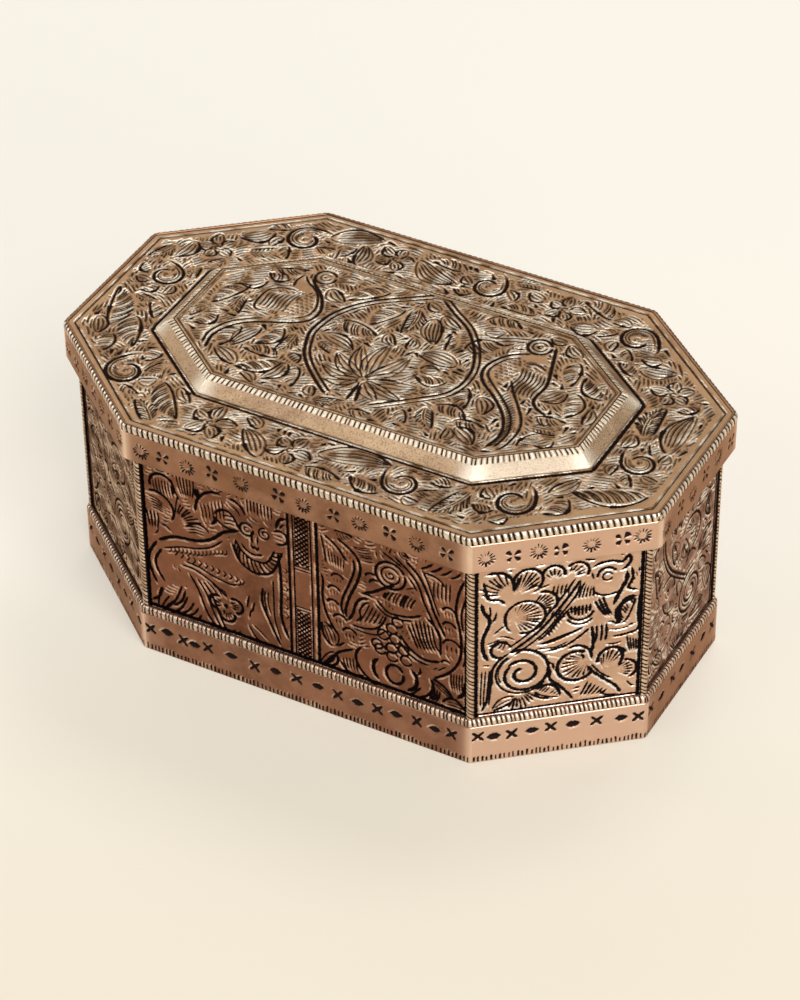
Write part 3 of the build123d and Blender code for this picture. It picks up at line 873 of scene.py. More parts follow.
def drawBird(p):
    ring(p, (29.3, 60.5), 4.9, 1.15)
    ring(p, (29.3, 60.5), 3.0, 0.9)
    spiral(p, (29.3, 60.6), 1.7, 0.3, 1.3, 140, 0.8)
    arc(p, (22.9, 56.9), 2.0, 45, 180, 1.0)
    arc(p, (24.2, 55), 1.9, 50, 190, 1.0)
    strokes(p, (1.1, 0.4, 20, 50.6, 23, 51.8, 26.5, 54.4, 29.5, 56.6, 31.2, 57.2),
            (0.8, 33.6, 57, 36.5, 58.6, 38, 58.8),
            (1.05, 30, 68.8, 35, 64.8, 38.4, 60.5, 40.2, 55, 42.6, 49.6, 45.8, 42.4),
            (1.05, 34, 68.4, 38.6, 64, 41.6, 58, 43.6, 52, 46.4, 46, 47.4, 43.6),
            (0.85, 39.4, 67.6, 41.8, 62, 43.6, 56, 45.6, 50.6), (0.9, 26, 69, 31, 66.4, 33.8, 65),
            (0.95, 34.6, 62.8, 36.6, 60.4, 38.4, 57.4))
    top = [(27, 53.4), (30.5, 54.8), (35, 55.4), (39.2, 54.6)]
    low = [(26.6, 50.6), (29.8, 49.6), (34, 49.4), (38.2, 51)]
    between(p, top, low, 1.15, 0.95, (0, 0.05), (0.4, 1.0), -0.12)
    strokes(p, (1.0, 24.2, 50.2, 26.4, 47.8, 28.8, 46.2, 33, 46.6, 36.4, 47.6, 40, 49.8),
            (0.9, 23.6, 48.4, 26.2, 46, 28.8, 44.8, 33.4, 45.2, 37, 46.4))
    # two folded wings over the grapes
    strokes(p, (0.9, 18.6, 50.2, 22.4, 50.2, 24.4, 49.4),
            (1.1, 14.6, 37.2, 16.6, 41, 17.6, 45, 19.4, 47.8, 22.6, 49),
            (0.95, 17.2, 38, 19.2, 40.6, 18.9, 43, 20.6, 46.4, 22.8, 47.6))
    for k in range(5):
        t = k / 4
        stroke(p, [(22.6 + 4.6 * t, 47.6 - 2.4 * t), (20.8 + 4.8 * t, 43 - 1.6 * t),
                   (18.6 + 5.8 * t, 38 + 1.4 * t)], 0.75)
    strokes(p, (1.0, 28, 45, 26.4, 41, 24, 38.2, 20, 36.8, 15.6, 36.6),
            (0.85, 27.8, 39, 25, 36.2, 20.4, 35.2, 16, 35.6))
    for x, z in ((31.5, 43.6), (29.6, 40.4), (26.6, 37), (30.6, 36.8), (24.6, 32.6), (29.4, 32.8),
                 (33.4, 33.4), (29.6, 29.6), (34.2, 29.8), (25.6, 31)):
        arc(p, (x, z), 1.85, 0, 360, 0.9, 0.36)
    strokes(p, (1.1, 31.8, 39.8, 35, 35.6, 39.4, 33, 43, 33.2, 46, 34.4),
            (0.95, 31.4, 37.4, 34.6, 33.4, 38.4, 31.4, 42.4, 31.2))
    for k in range(7):
        t = k / 6
        stroke(p, [(34.6 + 8 * t, 44.6 + 3.6 * math.sin(2.4 * t)), (36.4 + 7.4 * t, 40.5),
                   (38.4 + 7 * t, 35.4 + 0.3 * k)], 0.95)
    stroke(p, [(40.6, 49.6), (44, 46.6), (45.4, 43.6), (45.6, 36)], 1.0)
    arc(p, (47.4, 33.8), 1.6, 20, 190, 1.0)
    # flanking feathers and stems
    for x, z, r in ((48.3, 53.8, 2.1), (48.4, 48.2, 2.2), (49.2, 41, 2.9), (11.6, 52.2, 2.1),
                    (10.4, 47.2, 2.1), (9.9, 41.8, 2.0), (12.2, 36.6, 2.3), (15.4, 32.4, 2.4)):
        arc(p, (x, z), r, 5, 178, 1.0, 0.36)
        for k in range(3):
            dx = (k - 1) * r * 0.5
            stroke(p, [(x + dx, z + r * 0.5), (x + dx * 1.05, z - r * 0.9)], 0.75)
    strokes(p, (1.05, 53.4, 68, 51.4, 62, 50.6, 55, 51.8, 49, 52.4, 42, 51.4, 36, 48, 30.6, 43, 26.6),
            (0.95, 54, 62, 52.4, 55, 53, 48), (0.8, 53.2, 44, 53.6, 38, 52.6, 34.4),
            (1.05, 6, 53, 6.8, 50, 6.5, 44, 7.6, 38, 9.6, 33.6, 12.2, 30), (0.9, 6.4, 68, 7.6, 61, 8, 56.4),
            (1.0, 7, 68, 11.4, 65, 14, 61.6, 15.6, 59.8),
            (1.1, 11.4, 68.4, 16, 65.4, 18.6, 62.6, 19.4, 58.6, 18, 53, 15.6, 47, 14.2, 41.4, 14.6, 38.4),
            (1.0, 17, 62.6, 17.4, 58, 15.6, 52, 13.4, 46, 12.8, 42, 13.6, 38.8))
    comb(p, 6, (8.6, 63.4, 9, 60, 9.6, 57), (1.05, -0.4, 1, 0, 0.8, -0.2), 0.7)
    band = [(15.4, 67.4), (18, 64.6), (19.6, 61.8)]
    edge = [(22.4, 68.6), (24, 66), (24.8, 62.6)]
    between(p, band, edge, 0.9, 0.75, (0.06, 0.06))
    stroke(p, [(24.6, 68.6), (25, 65.4)], 0.8)
    comb(p, 5, (43.6, 64.6, 43.4, 60, 43.9, 57), (1.3, 0.3, 1.3, 0, 1.15, 0), 0.8)
    stroke(p, [(39.6, 66), (43.6, 65.8), (46.2, 64.4), (47, 62.4)], 0.95)
    comb(p, 4, (38.6, 66.8, 41, 68.2, 43.8, 70.8), (3.2, 0, 3.2, 0, 3, 0), 0.95)
    # vase
    ring(p, (30.4, 22.9), 2.9, 1.2, 1.25)
    for pts in ([(25.2, 27.2), (23.4, 25), (23.4, 21.4), (25.2, 18.6)],
                [(35.6, 27.4), (37.6, 24.6), (37.2, 20.6), (34.2, 18)]):
        stroke(p, pts, 1.3, 0.45)
    strokes(p, (1.15, 0.4, 19.6, 29.6, 17.6, 26.6, 17.5, 23.2, 19.4, 19.6, 23, 16.6, 24.6, 15.4),
            (1.0, 38.4, 29.6, 39, 27.6, 37.6, 25.2),
            (1.15, 0.4, 42, 26.6, 43.2, 23.4, 41.4, 19.4, 37.4, 16.2), (0.9, 35, 17, 37, 18.6, 39.6, 22))
    p.keep([(20.6, 29), (38, 29), (42, 24), (40, 19), (33, 16.5), (24, 17), (18.6, 22), (18.6, 26)])
    # leaves beside the foot
    leaf(p, (10.2, 25.6), (6.2, 34.2), 5.2, -0.08, "along", 1.0)
    leaf(p, (10.8, 23.4), (5.4, 17.4), 4.2, 0.1, "along", 1.0)
    strokes(p, (1.05, 17, 27.4, 13.6, 25.4, 11, 23.4, 8.4, 19.4, 4.9, 16.4), (1.0, 14, 29, 10.8, 25.8))
    comb(p, 5, (12.8, 23.4, 13.4, 20, 14.8, 18), (1.15, 0.4, 1.05, 0, 0.8, 0), 0.8)
    stroke(p, [(11.6, 21.6), (13.6, 18.4), (17, 17.2), (20.4, 18.4)], 0.95)
    leaf(p, (42.6, 26.4), (50, 20.6), 2.0, 0.05, "along", 1.0)
    leaf(p, (46, 18.4), (54, 17.8), 5.0, 0.1, "along", 1.0)
    comb(p, 5, (49.2, 31.8, 49, 28, 49.6, 24.2), (0.9, 0.3, 0.9, 0, 0.8, 0), 0.8)
    stroke(p, [(54, 30), (53, 24.6), (50.6, 21.8)], 1.3, 0.42)
    comb(p, 4, (42.8, 24.6, 42.6, 20, 41.4, 17.2), (0.9, -0.5, 0.8, 0, 0.8, 0), 0.9)
    for a, b in (((44, 29.8), (48, 33.4)), ((42.4, 29.6), (45.4, 32)), ((45.6, 28.8), (49.4, 32))):
        stroke(p, [a, b], 0.75)

    def rightField(u, v):
        return 6 < u < 53.6 and 17.6 < v < 80
    growLeaves(p, lambda u, v: rightField(u, v) and v > 69.6, ((8, 4), (6, 3)), 500)
    growLeaves(p, rightField, ((5.6, 3), (4, 2.2)), 400)
    fillHatch(p, rightField, 900, 4, 1.3, 0.6, 0.7)


def drawChamfer(p):
    p.style(bold=1.14, steep=0.6, ray=0.88, wriggle=0.2)
    for x in (-24.4, 24.4):
        p.cut([(x, 15), (x, 82)], 1.15, 0.5, (0.1, 0.1))
    p.cut([(-24, 17), (24, 17)], 0.95, 0.4, (0.1, 0.1))
    # a horned bird with a sweeping tail that curls into a spiral
    arc(p, (14.1, 63.6), 1.5, 0, 360, 0.9)
    arc(p, (14, 64), 2.9, 20, 195, 1.1)
    strokes(p,  (1.15, 0.4, 9.4, 67.4, 11.6, 68.8, 15.6, 69.2, 18.2, 68.4, 20.2, 70.6, 20.8, 68.4, 19.2, 66,
                 17.6, 65.2), (1.3, 0.44, 19.8, 65, 19.8, 61.6, 18.6, 58.8, 17.2, 55.6, 16, 52.2),
            (1.05, 10.2, 61, 10, 59, 11.6, 57.2, 14.6, 56.6, 18, 57.6))
    p.keep([(10.6, 61), (12, 66), (17.6, 66.6), (19, 62), (17.6, 58.4), (12, 58)])
    for k in range(6):
        p.cut([(6.6 + 0.8 * k, 63.6 - 0.5 * k), (5.6 + 0.92 * k, 60.2), (4.5 + 1.08 * k, 56.4)], 0.8, 0.42,
              (2.4, 0.8))
    stroke(p, [(9.2, 66.4), (10.2, 62.6)], 1.0)
    arc(p, (6.4, 52.4), 3.9, 175, 352, 1.1)
    arc(p, (6.4, 51.2), 4.3, 200, 330, 0.95)
    for k in range(6):
        p.cut([(3.5 + 1.15 * k, 54.4), (3.8 + 1.05 * k, 49.8 + 0.18 * (k - 2.5) ** 2)], 1.0, 0.42, (0.8, 0.8))
    comb(p, 3, (10.2, 55.6, 12.2, 51.4, 14.4, 48.2), (1.2, 0.6, 1.1, 0, 0.9, 0), 1.05)
    tail = [(6.4, 64), (3.4, 59), (-0.6, 53), (-5.6, 46.6), (-11, 42), (-14.4, 39.6)]
    for gap, w in ((0, 1.1), (-1.75, 0.9), (1.75, 0.85)):
        stroke(p, offsetLine(flow(tail, 3), gap), w, 0.42)
    stroke(p, [(3.6, 54), (0.4, 50), (-3.4, 45), (-6.6, 42.2)], 1.0)
    spiral(p, (-10.6, 31), 9.4, 4.6, -0.95, 118, 1.3)
    spiral(p, (-10.6, 31), 5.4, 1.5, -1.2, 150, 1.25)
    arc(p, (-10.6, 31.2), 7.9, 120, 330, 1.0)
    arc(p, (-11.2, 31.6), 6.6, 110, 215, 0.8)
    stroke(p, [(-14.4, 39.6), (-18, 36.6), (-20, 32), (-19.2, 27.6)], 1.2)
    for k in range(6):
        t = k / 5
        stroke(p, [(-3.4 + 3.2 * t, 47.4 + 6 * t), (-3 + 3.2 * t, 45.2 + 5.6 * t),
                   (-2.2 + 3.2 * t, 43 + 5.4 * t)], 0.86)
        stroke(p, [(-6.6 + 1.6 * k, 41.2 + 0.55 * k), (-1.6 + 1.2 * k, 41.8 + 0.5 * k),
                   (3.4 + 0.9 * k, 44 + 0.4 * k)], 0.96, 0.4)
    strokes(p, (1.1, -4, 38, 2, 39.4, 6.4, 42.4, 9.6, 45.4), (0.8, -7.4, 39.6, -1, 39.4, 3.4, 41.2))
    comb(p, 4, (-4.6, 37.4, -2.2, 36.2), (1.6, -0.6, 1.2, -0.5), 0.8)
    # shell leaves, petals and a fan in the upper left
    shell(p, (-13.4, 52.4), (-10, 52.4), 6.0, -110, 212, 19, 0.16, 1.15, 5)
    shell(p, (-9, 54), (-4.6, 57), 4.1, -50, 110, 7, 0.45, 1.15, 2)
    stroke(p, [(-13.6, 47), (-15.4, 49.4), (-15.6, 54), (-14.6, 57)], 0.9)
    shell(p, (-12.6, 61), (-9.2, 66), 4.3, -50, 190, 9, 0.2, 1.15, 4)
    shell(p, (-1.4, 64.4), (-1.8, 67), 3.3, -20, 190, 5, 0.3, 1.1)
    shell(p, (2, 65), (5.2, 67), 3.4, -40, 150, 5, 0.4, 1.1)
    stroke(p, [(-22, 70), (-19, 70.4), (-16, 69.6), (-13.8, 66.6), (-13.2, 61.8)], 1.15)
    fan(p, (-14.2, 61.6), 104, 170, 2.8, 10, 7, 0.9)
    stroke(p, [(-22.4, 68), (-21.6, 63.6), (-20.6, 60.8), (-17.4, 60), (-15.6, 57.8)], 1.15)
    comb(p, 5, (-1.4, 63.6, -1.8, 60.8, -1.6, 58.2), (1.25, 0, 1.15, 0, 1, 0), 0.84)
    stroke(p, [(-8.6, 61), (-5.6, 62.6), (-2, 63.8)], 0.85)
    # left stem and lower plants
    strokes(p, (1.25, 0.42, -23, 60, -22.2, 56.4, -20.4, 52.4, -22.4, 46, -22.2, 41, -20.6, 37),
            (0.9, -20.6, 59, -20.2, 55.6, -20.8, 53))
    fan(p, (-15, 46), 196, 250, 1.6, 6.4, 5, 0.8)
    fan(p, (-4.6, 45.6), 40, 78, 5.4, 9.6, 4, 0.85)
    strokes(p, (0.9, -18.4, 56.4, -18.8, 53.6, -20, 51.4), (0.9, -19.6, 47, -16.8, 49.6, -15.2, 50))
    arc(p, (-17, 41), 3.0, 40, 290, 1.15)
    strokes(p, (1.0, -17.4, 44.4, -14.6, 42.6, -14, 40.8), (0.8, -18.6, 46.2, -15.4, 45.8, -12.4, 43.8))
    comb(p, 4, (-22.6, 34.6, -22.9, 27, -23, 19.4), (1.1, 0, 1, 0, 0.8, 0), 0.76)
    stroke(p, [(-20.2, 31), (-20.6, 24), (-22.8, 17.6)], 1.1)
    leaf(p, (-12.4, 22), (-19.6, 17.8), 3.2, -0.08, "along", 1.05)
    fan(p, (-12.2, 25.4), 250, 322, 3.0, 8.6, 8, 0.92)
    stroke(p, [(-7, 23.6), (-5.6, 20.6), (-1.4, 19.4)], 1.05)
    leaf(p, (-6.6, 23.6), (1, 20), 4.6, 0.12, "across", 1.05)
    strokes(p, (1.2, -2, 31.6, -2.4, 27.4, 0.4, 24.4, 3.4, 20.4, 5, 17.6),
            (1.0, -3.4, 34, -1.6, 33, -1.2, 30))
    shell(p, (9, 32.6), (5.4, 31), 5.6, 60, 330, 12, 0.14, 1.25, 5)
    strokes(p, (1.15, 2.4, 38, 6, 38.8, 9.4, 36.4, 10.2, 32.4), (1.0, 6, 35.6, 7.6, 34.4, 7.4, 32.6),
            (1.25, 0.42, 9.8, 46, 10.4, 40, 10, 35))
    shell(p, (13.8, 27.6), (16.2, 32), 4.3, 20, 196, 7, 0.22, 1.25, 5)
    stroke(p, [(17.4, 36.4), (19.4, 33), (18.2, 28)], 1.15)
    shell(p, (16.4, 27), (20.2, 27.2), 3.6, -75, 100, 6, 0.3, 1.1, 3)
    strokes(p, (1.15, 8.4, 31, 10.8, 27.6, 14, 24.4, 17.6, 21, 19.4, 17.6),
            (0.9, 9.6, 31.4, 13, 26.8, 16.6, 24))
    comb(p, 6, (9.4, 25, 8, 21.4, 6.6, 18.4), (1.2, -0.9, 1.1, -0.5, 1.1, 0), 1.0)
    strokes(p, (0.9, 20.4, 23, 22.4, 20.4, 24, 20), (0.9, 12.4, 20.4, 14.6, 18, 18.6, 17.6))
    # leaf and strokes on the right
    stroke(p, [(16.6, 44.6), (18, 46.4), (18, 51), (20, 54.4), (23.4, 54.8)], 1.25, 0.42)
    leaf(p, (18.4, 45), (22.6, 54.4), 4.4, 0.12, "across", 1.15)
    strokes(p, (1.1, 24, 56, 23.6, 48, 23.8, 42.4, 20, 40.8, 15.6, 40.4),
            (1.0, 13.8, 46.4, 16, 46.2, 17.4, 44.6), (0.8, 14, 43.6, 18, 43, 21.8, 43.8))
    for x in (11.2, 12.7, 14.1):
        stroke(p, [(x, 46.4), (x + 0.2, 42.4), (x - 0.2, 38.6)], 1.0)
    comb(p, 5, (20.4, 40.6, 20.9, 36.8, 21.6, 33.4), (0.9, -0.4, 0.8, 0, 0.6, 0), 0.85)
    comb(p, 5, (20.6, 61.4, 22, 59), (0.9, 1.6, 0.5, 1.3), 0.9)
    strokes(p, (1.1, 21, 66.6, 21.6, 62, 20.4, 58.4, 23.6, 57), (0.9, 13.8, 38, 17, 37.6, 19.6, 38.4))

    def field(u, v):
        return -23.4 < u < 23.4 and 17.6 < v < 80
    growLeaves(p, lambda u, v: field(u, v) and v > 70, ((8, 4), (6, 3)), 400)
    growLeaves(p, field, ((5, 2.8), (3.8, 2.2)), 160)
    fillHatch(p, lambda u, v: field(u, v) and v > 69, 300, 3.6, 1.3, 0.6, 0.9)
    fillHatch(p, lambda u, v: field(u, v) and (v < 30 or 38 < v < 48 or abs(u) > 18), 300, 4.2, 1.3, 0.8,
              1.0, 2.2)


def drawSideField(p, half, seed):
    # the faces turned away carry the same kind of work: a curled stem with shells, flowers and leaves
    for x in (-half + 0.1, half - 0.1):
        p.cut([(x, 15), (x, 82)], 1.5, 0.5, (0.1, 0.1))
    p.cut([(-half, 16.8), (half, 16.8)], 1.2, 0.45, (0.1, 0.1))
    p.style(bold=1.1, steep=0.5)
    pick = random.Random(seed)
    flip = pick.choice((-1, 1))

    def turn(points):
        return [(flip * x, z) for x, z in points]
    n = max(1, int(half / 22))
    for k in range(n):
        cx = (k - (n - 1) / 2) * 2 * half / n
        top = turn([(0, 0)])[0][0] + cx
        spiral(p, (top - flip * 7, 33), 8.6, 1.4, -flip * 2.1, 70, 1.2)
        spiral(p, (top - flip * 7, 33), 6.7, 1.4, -flip * 1.6, 70, 0.8)
        stem = [(top + flip * (x), z) for x, z in ((-4, 41), (2, 46), (8, 52), (12, 60), (13, 70))]
        stroke(p, stem, 1.2)
        stroke(p, offsetLine(flow(stem, 3), 1.4), 1.0)
        shell(p, (top - flip * 9, 56), (top - flip * 6, 56), 6.4, -80, 100 + 60 * (flip < 0), 15, 0.3, 1.1)
        flower(p, (top + flip * 12, 30), 5.6, 5, pick.uniform(0, 70))
        shell(p, (top + flip * 3, 61), (top + flip * 4, 66), 4.4, -20, 200, 10, 0.3, 1.1)
        fan(p, (top, 14), 50, 130, 3.5, 9, 9, 0.95)
    field = (lambda u, v: abs(u) < half - 1.2 and 17.6 < v < 80)
    growLeaves(p, field, ((10, 5), (8, 4), (6.4, 3.4), (5, 2.8), (4, 2.3)), 900)
    fillHatch(p, field, int(60 * half), 4, 1.2, 0.5, 0.85)


# Lid panel: two birds either side of crossing stems, a rosette between them, leaves over the rest.
def drawPanel(p):
    p.style(hatch=0.4, steep=0.8, pitch=1.28, accent=0.6)
    edge = corners(panelPlan, 6.75)
    for k in range(8):
        p.cut([edge[k], edge[(k + 1) % 8]], 0.6, 0.3, (0.1, 0.1))
    left = [(-3, 33), (-10, 28), (-17, 23), (-22, 18), (-25.2, 13), (-27.2, 8), (-28.2, 0), (-27, -5),
            (-24.5, -11), (-20, -16.5), (-14, -22), (-9, -26)]
    right = [(0, 31.6), (6, 27), (13, 22), (18, 16), (21.5, 10), (23.6, 4), (24, -3), (22, -9), (17, -14),
             (10, -20), (4, -25)]
    for line in (left, right):
        stroke(p, line, 1.15, 0.42)
        stroke(p, offsetLine(flow(line, 3), 1.7), 0.95, 0.38)
    # left bird
    ring(p, (-37.3, 25.4), 3.3, 1.15)
    ring(p, (-37.3, 25.4), 1.6, 0.75)
    arc(p, (-37.3, 25.4), 0.4, 0, 360, 0.8)
    strokes(p, (0.9, -33.6, 27.6, -30, 29.4, -26.4, 29), (0.85, -34, 24.2, -30.4, 26.4, -27, 27.2),
            (1.15, 0.42, -40.8, 24, -38.4, 20.6, -34.6, 17.2, -31.6, 12.6, -30.2, 8, -31.2, 3.6, -35, 0.4,
             -41, -2.4, -47, -5.6, -51, -10, -53.2, -16, -52, -22.6),
            (0.95, -43.4, 24, -41, 21, -36, 17.4, -33.2, 12.6, -32.2, 8, -33.6, 4.4, -37.6, 1.4),
            (1.0, -43.6, -1.4, -48, -4, -52.6, -8.6, -55, -15, -54, -21))
    scales(p, [(-38.4, 14.6), (-34.6, 13.6), (-33.4, 8), (-34.6, 4.6), (-38.6, 2.4), (-41.4, 2.4),
               (-39.4, 8)])
    for k in range(7):
        x = -40.6 - 1.3 * k
        stroke(p, [(x + 0.9, 14.4 - 0.5 * k), (x - 0.1, 10), (x + 0.1, 5), (x - 0.4, 3.2 - 0.1 * k)], 0.72)
    strokes(p, (1.0, -41.4, 15.4, -46, 14.8, -49.6, 12, -50.2, 6, -49, 2, -44.8, 1.8),
            (1.0, -43.6, 24.2, -44.6, 20, -43.6, 16.4))
    p.keep([(-43, 22.6), (-40, 20.6), (-37, 17.6), (-38, 15.6), (-43.4, 16)])
    # right bird
    ring(p, (36.4, 23.8), 3.7, 1.15)
    ring(p, (36.4, 23.8), 2.2, 0.85)
    arc(p, (36.4, 23.8), 0.7, 0, 360, 1.0)
    strokes(p, (0.85, 33.2, 26.2, 28, 24.2, 21.4, 21), (0.8, 33, 24, 28, 22.6, 22.6, 19.4),
            (1.15, 0.42, 36, 19.6, 31.4, 17.2, 28.2, 13.2, 26.4, 8.4, 27, 4, 30, 0, 35, -4, 40, -9, 43.4,
             -14, 45, -20, 43.8, -27), (0.9, 34, 16.8, 30.4, 13.8, 28.2, 8.6, 28.6, 5, 31.6, 1.6, 36.8,
                                        -2.8, 42, -8, 45.2, -13, 46.8, -19, 46, -26),
            (1.15, 0.42, 40.8, 26, 43, 19.4, 45.4, 12, 46.6, 7, 46.2, 0, 48.6, -3.4, 53, -5.4),
            (1.0, 36, 5.6, 39, 0.8, 43.6, -5, 47.4, -10.6, 49, -16, 48.6, -23, 47, -27))
    scales(p, [(33.4, 15.6), (30, 12), (29.2, 8), (31.2, 4), (34, 2.6), (35.4, 7), (35.6, 12)])
    for k in range(7):
        x = 37 + 1.25 * k
        stroke(p, [(x - 0.4, 13 - 0.2 * k), (x + 0.7, 7.6), (x + 0.1, 2.4), (x + 0.9, -0.8)], 0.78)
    stroke(p, [(36, 14.4), (40, 15.4), (44, 13.6)], 0.9)
    between(p, [(37.6, 0.6), (42, -4.6), (45.8, -10.6), (47.4, -17), (46.4, -25)],
            [(34.8, -2.6), (39.4, -7), (43.2, -12), (45, -18), (44.4, -26)], 1.15, 0.75, (0.02, 0.02),
            (0.6, 0.6), 0.08)
    p.keep([(33.6, 19), (40, 20.6), (42, 17), (38, 15.4), (33, 16)])
    # rosette between the stems
    eye = (-2.6, -15)
    p.style(accent=0.2)
    for a, long, wide in ((118, 17, 5.4), (92, 19, 5.6), (66, 18, 5.4), (40, 17, 5.6), (14, 17, 5.6),
                          (-14, 15, 5), (146, 16, 5.2), (172, 15, 5), (200, 12, 4.6), (-40, 11, 4.2),
                          (232, 10, 3.8)):
        leaf(p, polar(eye, 0.9, a), polar(eye, long, a), wide, 0.08 * (1 if a > 80 else -1), "along", 0.72,
             1.6)
    for a in (268, 284):
        stroke(p, [polar(eye, 2, a), polar(eye, 10.6, a + 3)], 1.3, 0.46)
    p.style(accent=0.6)
    # bigger leaves in the free fields
    for base, tip, wide, kind in (((-8, 22), (-14, 10), 6, "across"), ((-4, 24), (-3, 10), 6, "half"),
                                  ((2, 22), (8, 10), 6.4, "along"), ((-22, 8), (-9, 6), 6.4, "across"),
                                  ((19, 4), (6, 4), 6.2, "along"), ((-24, 0), (-12, -4), 5, "along"),
                                  ((20, -4), (10, -6), 5, "across"), ((-16, 28), (-26, 18), 5.6, "across"),
                                  ((-20, 27), (-30, 24), 4, "along"), ((16, 28), (28, 29), 5.4, "across"),
                                  ((10, 29), (14, 19.6), 4, "half"), ((50, 22), (53, 10), 5.6, "across"),
                                  ((50, 24), (44, 29), 4.6, "along"), ((48, 16), (52, 4), 4.6, "along"),
                                  ((56, 8), (58, -4), 6, "across"), ((51, 2), (62, 1), 5, "along"),
                                  ((50, -8), (60, -6), 5, "across"), ((51, -12), (60, -12), 4.6, "half"),
                                  ((50, -18), (56, -13), 4.4, "along"),
                                  ((26, -4), (30, -14), 5.4, "across"), ((32, -6), (36, -14), 5, "along"),
                                  ((22, -16), (33, -18), 5.4, "across"),
                                  ((20, -18), (26, -27), 5.4, "half"), ((14, -22), (18, -28), 4, "across"),
                                  ((30, -20), (40, -19), 5, "across"), ((32, -22), (40, -28), 5, "along"),
                                  ((-56, 12), (-62, -2), 5.8, "across"), ((-52, 16), (-60, 11), 5, "along"),
                                  ((-46, 20), (-54, 20), 4.4, "across"), ((-46, 24), (-49, 29), 4, "along"),
                                  ((-55, 6), (-52, -4), 5, "half"), ((-57, -6), (-62, -13), 5, "across"),
                                  ((-56, -16), (-50, -26), 4.8, "across"),
                                  ((-48, -8), (-49, -20), 5.6, "across"),
                                  ((-42, -6), (-46, -18), 5.4, "along"),
                                  ((-36, -3), (-40, -14), 5.4, "across"),
                                  ((-31, -4), (-33, -15), 5, "half"),
                                  ((-30, -16), (-42, -17), 5.2, "across"),
                                  ((-28, -18), (-40, -26), 5.8, "across"),
                                  ((-26, -18), (-30, -28), 5, "along"),
                                  ((-23, -18), (-20, -28), 5, "across"),
                                  ((-15, -24), (-12, -29), 3.6, "along")):
        middle = np.array([np.array(base) * (1 - t) + np.array(tip) * t for t in (0.2, 0.5, 0.8)])
        if not p.busy(middle).any():
            bend = p.pick.uniform(0.06, 0.14) * p.pick.choice((-1, 1))
            if kind == "half":
                plume(p, base, tip, wide, bend, 0.78, p.pitch)
            else:
                leaf(p, base, tip, wide, bend, {"across": "open"}.get(kind, kind), 0.84, p.pitch)
    field = (lambda u, v: insideOctagon(panelPlan, 7.5, u, v))
    kinds = ("along", "open", "along", "plume")
    growLeaves(p, field, ((15, 6.8), (12, 5.6), (9.4, 4.6), (7.4, 3.6)), 1500, kinds)
    wedges(p, field, 700)
    fillHatch(p, field, 7000, 8, 1.24, 0.4, 0.66, 1.8)
    fillHatch(p, field, 12000, 4, 1.16, 0.36, 0.6, 1.1, 2)


# Lid border: running acanthus curls with flowers and close leaves round the panel's foot.
def drawBorder(p):
    p.style(hatch=0.37, steep=0.7, bold=1.05, pitch=1.28, accent=0.6,
            course=lambda u, v: math.atan2(v * 1.6, u) + math.pi / 2)
    edge = corners(lidPlan, 3.6)
    for k in range(8):
        p.cut([edge[k], edge[(k + 1) % 8]], 0.72, 0.36, (0.1, 0.1))
    foot = corners(panelPlan, -0.7)
    for k in range(8):
        p.cut([foot[k], foot[(k + 1) % 8]], 1.5 if k in (1, 2) else 1.2, 0.46, (0.1, 0.1))
    for x, y, r, a, t in ((-70, -38.5, 6.6, 150, 1), (28, -47.6, 5.8, 200, 1), (60, -40.4, 6.2, 20, -1),
                          (84.4, -8, 5.6, 200, 1), (58, 45.6, 6.4, 30, 1), (6, 49.2, 5.6, 20, -1),
                          (-56, 45.4, 6.4, 100, 1), (-84.6, 9, 5.6, 60, -1)):
        scroll(p, (x, y), r, a, t, inBorder)
    for x, y, r in ((-35, -48.6, 5.2), (-8, -49, 4.8), (79, 26, 4.6), (32, 49.4, 4.4), (-26, 49, 4.6),
                    (-78, 29, 4.6)):
        turn = p.pick.uniform(0, 70)
        for k in range(5):
            a = turn + 72 * k + p.pick.uniform(-9, 9)
            leaf(p, polar((x, y), 1.3, a), polar((x, y), r * p.pick.uniform(1.3, 1.7), a + 10), r * 0.86,
                 0.12, "along", 0.86, 1.25)
        arc(p, (x, y), 0.9, 0, 360, 0.75)
    kinds = ("along", "open", "plume", "along", "open")
    growLeaves(p, inBorder, ((19, 7.8), (14.5, 6.4), (11, 5.2), (8, 4)), 3600, kinds, 0.16)
    wedges(p, inBorder, 1600)
    fillHatch(p, inBorder, 11000, 8, 1.24, 0.4, 0.66, 1.8)
    fillHatch(p, inBorder, 18000, 4, 1.16, 0.36, 0.6, 1.1, 2)


plainEdge = sideFrame(lidPlan, 7.2, 1)


def inBorder(u, v):
    margin = 5.2 if u < 0 else 5.8
    if (u - plainEdge[0][0]) * plainEdge[2][0] + (v - plainEdge[0][1]) * plainEdge[2][1] > 0:
        return False
    return insideOctagon(lidPlan, margin, u, v) and not insideOctagon(panelPlan, -1.9, u, v)


# Stamped marks of the skirt and the plinth.
def sun(p, centre, radius=2.85, marks=13):
    # the rays are cut wider and deeper towards the lower right, which darkens that half of the stamp as
    # painted shade
    turn = p.pick.uniform(0, 20)
    for k in range(marks):
        a = turn + 360 * k / marks
        r1 = radius * p.pick.uniform(0.88, 1.1)
        strong = 1 + 0.2 * math.cos(math.radians(a + 65))
        p.cut([polar(centre, radius * 0.24, a), polar(centre, r1, a)], 0.62 * strong, 0.54 * strong,
              (0.95, 0.25))


def quatrefoil(p, centre, reach, turn, wide=2.2):
    for k in range(4):
        a = turn + 90 * k + p.pick.uniform(-9, 9)
        far = reach * p.pick.uniform(0.88, 1.12)
        p.cut([polar(centre, 0.35, a), polar(centre, far, a)], wide * p.pick.uniform(0.8, 1.1), 0.68,
              (1.7, 0.3))


